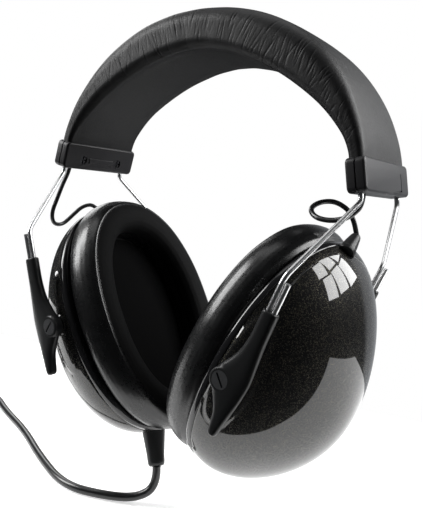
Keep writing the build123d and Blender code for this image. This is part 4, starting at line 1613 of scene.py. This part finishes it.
    def build_lead_relief(self, tip: Sequence[float]) -> None:
        """The stubby rubber sleeve where the lead enters the cup, standing on a low collar.

        Args:
            tip: The lead's last point, where the sleeve ends.
        """
        own = np.array([[self.relief_x, self.side.lead_y, self.relief_z]])
        base = Vector(self.to_frame(own)[0])
        heading = Vector(tip) - base
        long = heading.length
        profile = rounded_profile(
            [
                (-1.5 * MM, 2.4 * MM),
                (-1.4 * MM, 3.9 * MM),
                (0.4 * MM, 3.9 * MM),
                (0.6 * MM, 3.5 * MM),
                (0.5 * long, 2.9 * MM),
                (0.9 * long, 2.2 * MM),
                (long, 1.7 * MM),
                (long + 0.1 * MM, 0.9 * MM),
            ]
        )
        piece = turned(self.side.node("lead_sleeve"), base, heading, profile)
        self.wardrobe.place(piece, Finish.RELIEF, self.side.cup, [self.side.node("lead_relief")])

    def build_cord_relief(self, tip: Sequence[float]) -> None:
        """The rubber sleeve under the left cup that the cord comes out of.

        Args:
            tip: The cord's first point, where the sleeve ends.
        """
        base = Vector(self.to_frame(np.array(self.cord_base)[None])[0])
        heading = Vector(tip) - base
        long = heading.length
        profile = rounded_profile(
            [
                (-1.6 * MM, 3.4 * MM),
                (-1.5 * MM, 6.2 * MM),
                (0.25 * long, 5.4 * MM),
                (0.7 * long, 4.4 * MM),
                (0.93 * long, 4.2 * MM),
                (long, 3.5 * MM),
                (long + 0.1 * MM, 1.9 * MM),
            ]
        )
        piece = turned("left_cord_sleeve", base, heading, profile)
        self.wardrobe.place(piece, Finish.RELIEF, self.side.cup, ["left_cord_relief"])

    def build(self) -> None:
        """The whole cup but its reliefs, which follow the cords."""
        self.build_shell()
        self.build_ring()
        self.build_cushion()
        self.build_screen()
        self.build_inside()


# ---- cords ----------------------------------------------------------------------------------------------------
class Spline:
    """A cord's smooth line through the pull of its route's points."""

    def __init__(self, points: Any) -> None:
        """Evaluates a NURBS spline.

        Args:
            points: Its control points, in metres.
        """
        curve = bpy.data.curves.new("route", "CURVE")
        curve.dimensions = "3D"
        curve.resolution_u = 14
        spline = curve.splines.new("NURBS")
        spline.points.add(len(points) - 1)
        for point, place in zip(spline.points, points):
            point.co = (*place, 1.0)
        spline.order_u = 3
        spline.use_endpoint_u = True
        bare = bpy.data.objects.new("route", curve)
        mesh = bpy.data.meshes.new_from_object(bare)
        self.line = np.array([v.co for v in mesh.vertices], float)
        bpy.data.objects.remove(bare)
        bpy.data.curves.remove(curve)
        bpy.data.meshes.remove(mesh)

    def cut(self, place: Sequence[float]) -> tuple[np.ndarray, np.ndarray]:
        """The line in two pieces that share the point nearest to a place."""
        at = int(np.linalg.norm(self.line - np.array(place), axis=1).argmin())
        return self.line[: at + 1], self.line[at:]


def length_of(line: np.ndarray) -> float:
    """The length of a line."""
    return float(np.linalg.norm(np.diff(line, axis=0), axis=1).sum())


def tube(name: str, line: np.ndarray, radius: float, around: int = 20) -> bpy.types.Object:
    """A round tube whose rings stand square to a line, without twist.

    Args:
        name: The tube's name.
        line: The points that it follows.
        radius: Its radius.
        around: How many points each ring has.

    Returns:
        The tube.
    """
    heading = np.gradient(line, axis=0)
    heading /= np.linalg.norm(heading, axis=1, keepdims=True)
    side = np.array(Vector(heading[0]).orthogonal().normalized())
    angles = np.linspace(0, 2 * pi, around, endpoint=False)
    rings = []
    for place, ahead in zip(line, heading):
        side = side - ahead * (side @ ahead)
        side /= np.linalg.norm(side)
        other = np.cross(ahead, side)
        rings.append(place + radius * (np.outer(np.cos(angles), side) + np.outer(np.sin(angles), other)))
    return skin(name, rings)


@dataclass
class Cords:
    """The two leads from the band to the cups, and the main cord with its coil and plug."""

    wardrobe: Wardrobe
    lead_radius: float = 1.05 * MM
    cord_radius: float = 2.1 * MM
    right_lead: Route = (
        (78.7, -17.0, -49.2),
        (80.72, -17.0, -58.89),
        (76.0, -17.7, -65.0),
        (69.0, -17.8, -67.3),
        (61.5, -17.6, -66.8),
        (56.8, -13.8, -63.4),
        (57.6, -5.6, -60.2),
        (62.8, -0.6, -59.6),
        (68.6, 4.4, -64.6),
        (70.0, 6.3, -73.0),
    )
    right_split: int = 5
    left_lead: Route = (
        (-78.7, -17.0, -49.2),
        (-80.44, -17.0, -57.52),
        (-82.3, -18.9, -64.2),
        (-84.4, -20.2, -72.4),
        (-86.4, -21.6, -80.3),
        (-88.0, -18.6, -86.4),
        (-88.6, -11.6, -86.8),
        (-87.0, -6.4, -81.4),
        (-84.8, -1.4, -75.8),
        (-81.4, 4.0, -74.6),
        (-78.6, 6.6, -79.6),
    )
    left_split: int = 6
    cable: Route = (
        (-12.4, -8.0, -198.0),
        (-10.6, -8.6, -207.5),
        (-17.5, -14.6, -214.2),
        (-31.0, -23.0, -215.0),
        (-53.0, -30.5, -215.0),
        (-86.0, -18.0, -215.0),
        (-119.0, -2.0, -215.0),
        (-152.0, 9.0, -215.0),
        (-177.0, 20.5, -215.0),
        (-201.0, 19.0, -215.0),
    )
    cable_split: int = 4
    tail: Route = (
        (-200.0, -42.0, -215.0),
        (-190.5, -42.6, -214.7),
        (-181.0, -42.2, -212.7),
        (-172.0, -41.6, -212.5),
    )
    coil_centre: tuple[float, float] = (-198.0 * MM, -11.0 * MM)
    coil_radius: float = 24.0 * MM
    coil_start: float = 96.0
    coil_end: float = 252.0
    turns: int = 14
    columns: int = 4
    points_per_turn: int = 14
    run_sides: int = 28
    coil_sides: int = 24
    plug_neck: float = 11.0 * MM
    plug_body: float = 24.0 * MM
    ribs: int = 5
    rib_first: float = 1.2
    rib_pitch: float = 1.9
    rib_radius: float = 2.95
    rib_growth: float = 0.17
    contact_radius: float = 1.75 * MM
    contact_waist: float = 1.6 * MM
    contact_gaps: tuple[float, float] = (6.0 * MM, 9.0 * MM)
    contact_tip: Pairs = ((11.0, 1.7), (11.6, 1.35), (12.2, 1.7), (13.4, 1.1), (14.0, 0.5))

    def _lead(self, side: Side, route: Route, split: int) -> np.ndarray:
        """One lead, in two pieces that meet partway along its route.

        Args:
            side: The lead's side.
            route: Its points, in millimetres.
            split: The number of the point after the meeting place.

        Returns:
            The whole line.
        """
        points = np.array(route) * MM
        spline = Spline(points)
        upper, lower = spline.cut((points[split - 1] + points[split]) / 2)
        exit_place = points[1]
        halves = (
            ("upper", upper, "headband", side.arms, upper[0], upper[-1], exit_place),
            ("lower", lower, side.arms, side.cup, lower[0], lower[-1], lower[0]),
        )
        for name, line, first, second, start, end, leaves in halves:
            piece = tube(side.node(f"lead_{name}_run"), line, self.lead_radius)
            self.wardrobe.dress(piece, Finish.LEAD)
            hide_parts(side.node(f"lead_{name}"))
            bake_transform(piece)
        return spline.line

    def _coil_points(self) -> list[tuple[float, float, float]]:
        """Control points of the put-away turns, laid beside and on each other.

        Returns:
            The points, in metres.
        """
        pitch = 2 * self.cord_radius
        span = self.coil_end - self.coil_start + 360.0 * self.turns
        count = int(span / 360.0 * self.points_per_turn)
        floor = self.cable[-1][2] * MM
        points = []
        for i in range(1, count):
            turn = i / self.points_per_turn
            angle = radians(self.coil_start + 360.0 * turn)
            layer, column = divmod(min(int(turn), self.turns), self.columns)
            into = ease(np.array((turn % 1.0) * 4 - 3)) if turn < self.turns else 0.0
            next_layer, next_column = divmod(min(int(turn) + 1, self.turns), self.columns)
            rows = (self._column(column, layer), self._column(next_column, next_layer))
            offset = rows[0] * (1 - into) + rows[1] * into
            height = (layer * (1 - into) + next_layer * into) * pitch
            radius = self.coil_radius + offset * pitch
            x = self.coil_centre[0] + radius * cos(angle)
            y = self.coil_centre[1] + radius * sin(angle)
            points.append((x, y, floor + height))
        return points

    def _column(self, column: int, layer: int) -> float:
        """Where a turn lies across the bundle: outward in, then inward out, layer by layer."""
        middle = (self.columns - 1) / 2
        return middle - column if layer % 2 == 0 else column - middle

    def _main(self) -> None:
        """The main cord: a short piece that leaves the cup, then the run, the coil and the tail."""
        route = np.array(self.cable) * MM
        coil = np.array(self._coil_points())
        tail = np.array(self.tail) * MM
        spline = Spline(np.vstack([route, coil, tail]))
        first, rest = spline.cut((route[self.cable_split - 1] + route[self.cable_split]) / 2)
        leaving = tube("cord_exit_run", first, self.cord_radius, self.run_sides)
        self.wardrobe.dress(leaving, Finish.CORD)
        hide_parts("cable_exit")
        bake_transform(leaving)
        lying = tube("cord_run_and_coil", rest, self.cord_radius, self.coil_sides)
        self.wardrobe.dress(lying, Finish.CORD)
        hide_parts("main_cable", "cable_coil", "cable_tail")
        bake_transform(lying)
        handle, contact = self._plug(tail)
        log.info("main cord: %.3f m lies, %.3f m hangs from the cup", length_of(rest), length_of(first))
        self.wardrobe.dress_node("cable_tie", Finish.STRAP)

    def _plug(self, tail: np.ndarray) -> tuple[bpy.types.Object, bpy.types.Object]:
        """The plug's ribbed handle and its three-part contact.

        Args:
            tail: The cord's last points, which the plug goes on from.

        Returns:
            The handle and the contact.
        """
        start = tail[-1]
        heading = tail[-1] - tail[-2]
        heading /= np.linalg.norm(heading)
        neck = [(-0.2 * MM, 2.2 * MM), (0.0, 2.8 * MM)]
        for i in range(self.ribs):
            at = (self.rib_first + self.rib_pitch * i) * MM
            radius = (self.rib_radius + self.rib_growth * i) * MM
            dip = radius - 0.4 * MM
            neck += [(at, radius), (at + 0.9 * MM, radius), (at + 1.1 * MM, dip), (at + 1.6 * MM, dip)]
        root, end = self.plug_neck, self.plug_neck + self.plug_body
        body = [(root, 3.9 * MM), (root + 1.0 * MM, 4.6 * MM), (root + 15 * MM, 4.4 * MM)]
        body += [(end - 4 * MM, 4.6 * MM), (end - 0.6 * MM, 4.5 * MM), (end, 3.9 * MM), (end + 0.01 * MM, 1.0 * MM)]
        handle = turned("plug_grip", start, heading, neck + body)
        self.wardrobe.place(handle, Finish.PLUG, "headband", ["plug_handle"])
        shoulder = start + heading * end
        full, waist = self.contact_radius, self.contact_waist
        contact = [(-2.0 * MM, full)]
        for gap in self.contact_gaps:
            contact += [(gap, full), (gap + 0.1 * MM, waist), (gap + 0.6 * MM, waist), (gap + 0.7 * MM, full)]
        contact += [(at * MM, radius * MM) for at, radius in self.contact_tip]
        piece = turned("plug_pin", shoulder, heading, contact)
        self.wardrobe.place(piece, Finish.CONTACT, "headband", ["plug_contact"])
        return handle, piece

    def build(self, cups: dict[str, Cup]) -> None:
        """Leads and cord, and the reliefs that they pass through.

        Args:
            cups: The two cups, by the name of their side.
        """
        self._lead(RIGHT, self.right_lead, self.right_split)
        self._lead(LEFT, self.left_lead, self.left_split)
        self._main()
        cups["right"].build_lead_relief(np.array(self.right_lead[-1]) * MM)
        cups["left"].build_lead_relief(np.array(self.left_lead[-1]) * MM)
        cups["left"].build_cord_relief(np.array(self.cable[0]) * MM)


# ---- studio ---------------------------------------------------------------------------------------------------
@dataclass(frozen=True)
class Softbox:
    """One rectangular light: where it is, how large and how strong."""

    name: str
    place: tuple[float, float, float]
    width: float
    height: float
    power: float


@dataclass
class Studio:
    """Camera, lights and the pale floor."""

    camera_place: tuple[float, float, float] = (0.16565, -0.23949, -0.05908)
    look: tuple[float, float, float] = (-0.5603, 0.8214, -0.1066)
    up: tuple[float, float, float] = (-0.1416, 0.0318, 0.9894)
    lens: float = 43.64
    middle: tuple[float, float, float] = (0.0, 0.0, -0.10)
    boxes: tuple[Softbox, ...] = field(
        default_factory=lambda: (
            Softbox("left_box", (-0.6, -0.36, 0.3), 0.3, 0.55, 6.0),
            Softbox("left_rear_box", (-0.7, 0.32, 0.3), 0.36, 0.5, 1.6),
            Softbox("top_box", (-0.2, 0.1, 0.9), 1.0, 0.6, 2.2),
        )
    )
    window_place: tuple[float, float, float] = (0.54, 0.36, 0.37)
    pane: tuple[float, float] = (0.2, 0.26)
    pane_gap: float = 0.03
    window_panes: tuple[int, int] = (3, 2)
    pane_power: float = 1.4
    room_light: float = 0.03
    rear_light: float = 0.45
    table_turn: float = 15.0
    table_front: float = -0.078
    table_rear: float = 0.2
    table_reach: float = 0.5
    table_glow: float = 0.6
    surround: tuple[float, float, float, float] = (0.93, 0.96, 1.0, 1.0)
    rear_band: tuple[float, float] = (0.84, 0.9)
    floor_colour: tuple[float, float, float] = (0.93, 0.93, 0.93)
    sensor: float = 36.0
    nearest: float = 0.01

    def _aimed(self, place: Sequence[float], target: Sequence[float]) -> Matrix:
        """A placement at one point that looks at another."""
        heading = Vector(target) - Vector(place)
        return Matrix.Translation(place) @ heading.to_track_quat("-Z", "Y").to_matrix().to_4x4()

    def build_camera(self) -> None:
        """The camera."""
        data = bpy.data.cameras.new("camera")
        data.lens = self.lens
        data.sensor_width = self.sensor
        data.clip_start = self.nearest
        camera = bpy.data.objects.new("camera", data)
        look, up = Vector(self.look).normalized(), Vector(self.up)
        right = look.cross(up).normalized()
        up = right.cross(look)
        turn = Matrix((right, up, -look)).transposed()
        camera.matrix_world = Matrix.Translation(self.camera_place) @ turn.to_4x4()
        bpy.context.scene.collection.objects.link(camera)
        bpy.context.scene.camera = camera

    def _window(self) -> list[Softbox]:
        """A tall window as separate panes, which all face the object.

        Returns:
            The panes.
        """
        aim = self._aimed(self.window_place, self.middle)
        panes = []
        columns, rows = self.window_panes
        for i in range(columns):
            for j in range(rows):
                across = (i - (columns - 1) / 2) * (self.pane[0] + self.pane_gap)
                up = (j - (rows - 1) / 2) * (self.pane[1] + self.pane_gap)
                place = tuple(aim @ Vector((across, up, 0.0)))
                panes.append(Softbox(f"pane_{i}_{j}", place, *self.pane, self.pane_power))
        return panes

    def build_lights(self) -> None:
        """The softboxes and the window round the object."""
        for box in (*self.boxes, *self._window()):
            data = bpy.data.lights.new(box.name, "AREA")
            data.shape = "RECTANGLE"
            data.size = box.width
            data.size_y = box.height
            data.energy = box.power
            lamp = bpy.data.objects.new(box.name, data)
            lamp.matrix_world = self._aimed(box.place, self.middle)
            lamp.visible_camera = False
            bpy.context.scene.collection.objects.link(lamp)

    def build_surround(self) -> None:
        """A dim room with a paler rear, which the camera itself sees as plain white."""
        world = bpy.data.worlds.new("surround")
        world.use_nodes = True
        bpy.context.scene.world = world
        room = NodeSheet(world.node_tree)
        heading = room.node("ShaderNodeTexCoord").outputs["Generated"]
        rearward = room.node("ShaderNodeSeparateXYZ", inputs={0: heading}).outputs["Y"]
        start, end = self.rear_band
        light = {"Value": rearward, "From Min": start, "From Max": end}
        light |= {"To Min": self.room_light, "To Max": self.rear_light}
        strength = room.node("ShaderNodeMapRange", inputs=light).outputs[0]
        lit = room.node("ShaderNodeBackground", inputs={"Color": self.surround, "Strength": strength})
        seen = room.node("ShaderNodeBackground", inputs={"Color": WHITE, "Strength": 1.0})
        direct = room.node("ShaderNodeLightPath").outputs["Is Camera Ray"]
        both = room.node("ShaderNodeMixShader", inputs={0: direct, 1: lit.outputs[0], 2: seen.outputs[0]})
        room.node("ShaderNodeOutputWorld", inputs={0: both.outputs[0]})

    def build_floor(self, floor_z: float) -> None:
        """The plain pale floor under the object, with its front edge just out of view.

        Args:
            floor_z: Its height.
        """
        near, far, reach = self.table_front, self.table_rear, self.table_reach
        turn = Matrix.Rotation(radians(self.table_turn), 3, "Z")
        outline = ((-reach, near), (reach, near), (reach, far), (-reach, far))
        corners = [turn @ Vector((x, y, floor_z)) for x, y in outline]
        floor = mesh_piece("floor", corners, [(0, 1, 2, 3)])
        s = Surface("pale_floor")
        s.finish(
            Base_Color=self.floor_colour,
            Roughness=0.9,
            Specular_IOR_Level=0.1,
            Emission_Color=WHITE,
            Emission_Strength=self.table_glow,
        )
        floor.data.materials.append(s.material)
        floor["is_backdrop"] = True

    def build(self, floor_z: float) -> None:
        """The whole studio.

        Args:
            floor_z: The floor's height.
        """
        self.build_camera()
        self.build_lights()
        self.build_surround()
        self.build_floor(floor_z)
        bpy.context.scene.view_settings.view_transform = "Standard"


# ---- assembly -------------------------------------------------------------------------------------------------
def plain(box: Any) -> list[list[float]]:
    """A box as plain lists of numbers."""
    return [[float(x) for x in corner] for corner in box]


def main() -> None:
    """Builds every sub-assembly in order."""
    logging.basicConfig(level=logging.INFO, format="%(message)s")
    cad_box = plain(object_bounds())
    wardrobe = Wardrobe()
    Studio().build(floor_z=cad_box[0][2])
    Headband(wardrobe).build()
    Arms(wardrobe).build()
    cups = {side.name: Cup(wardrobe, side) for side in (RIGHT, LEFT)}
    for cup in cups.values():
        cup.build()
    Cords(wardrobe).build(cups)
    bpy.context.view_layer.update()


if __name__ == "__main__":
    main()
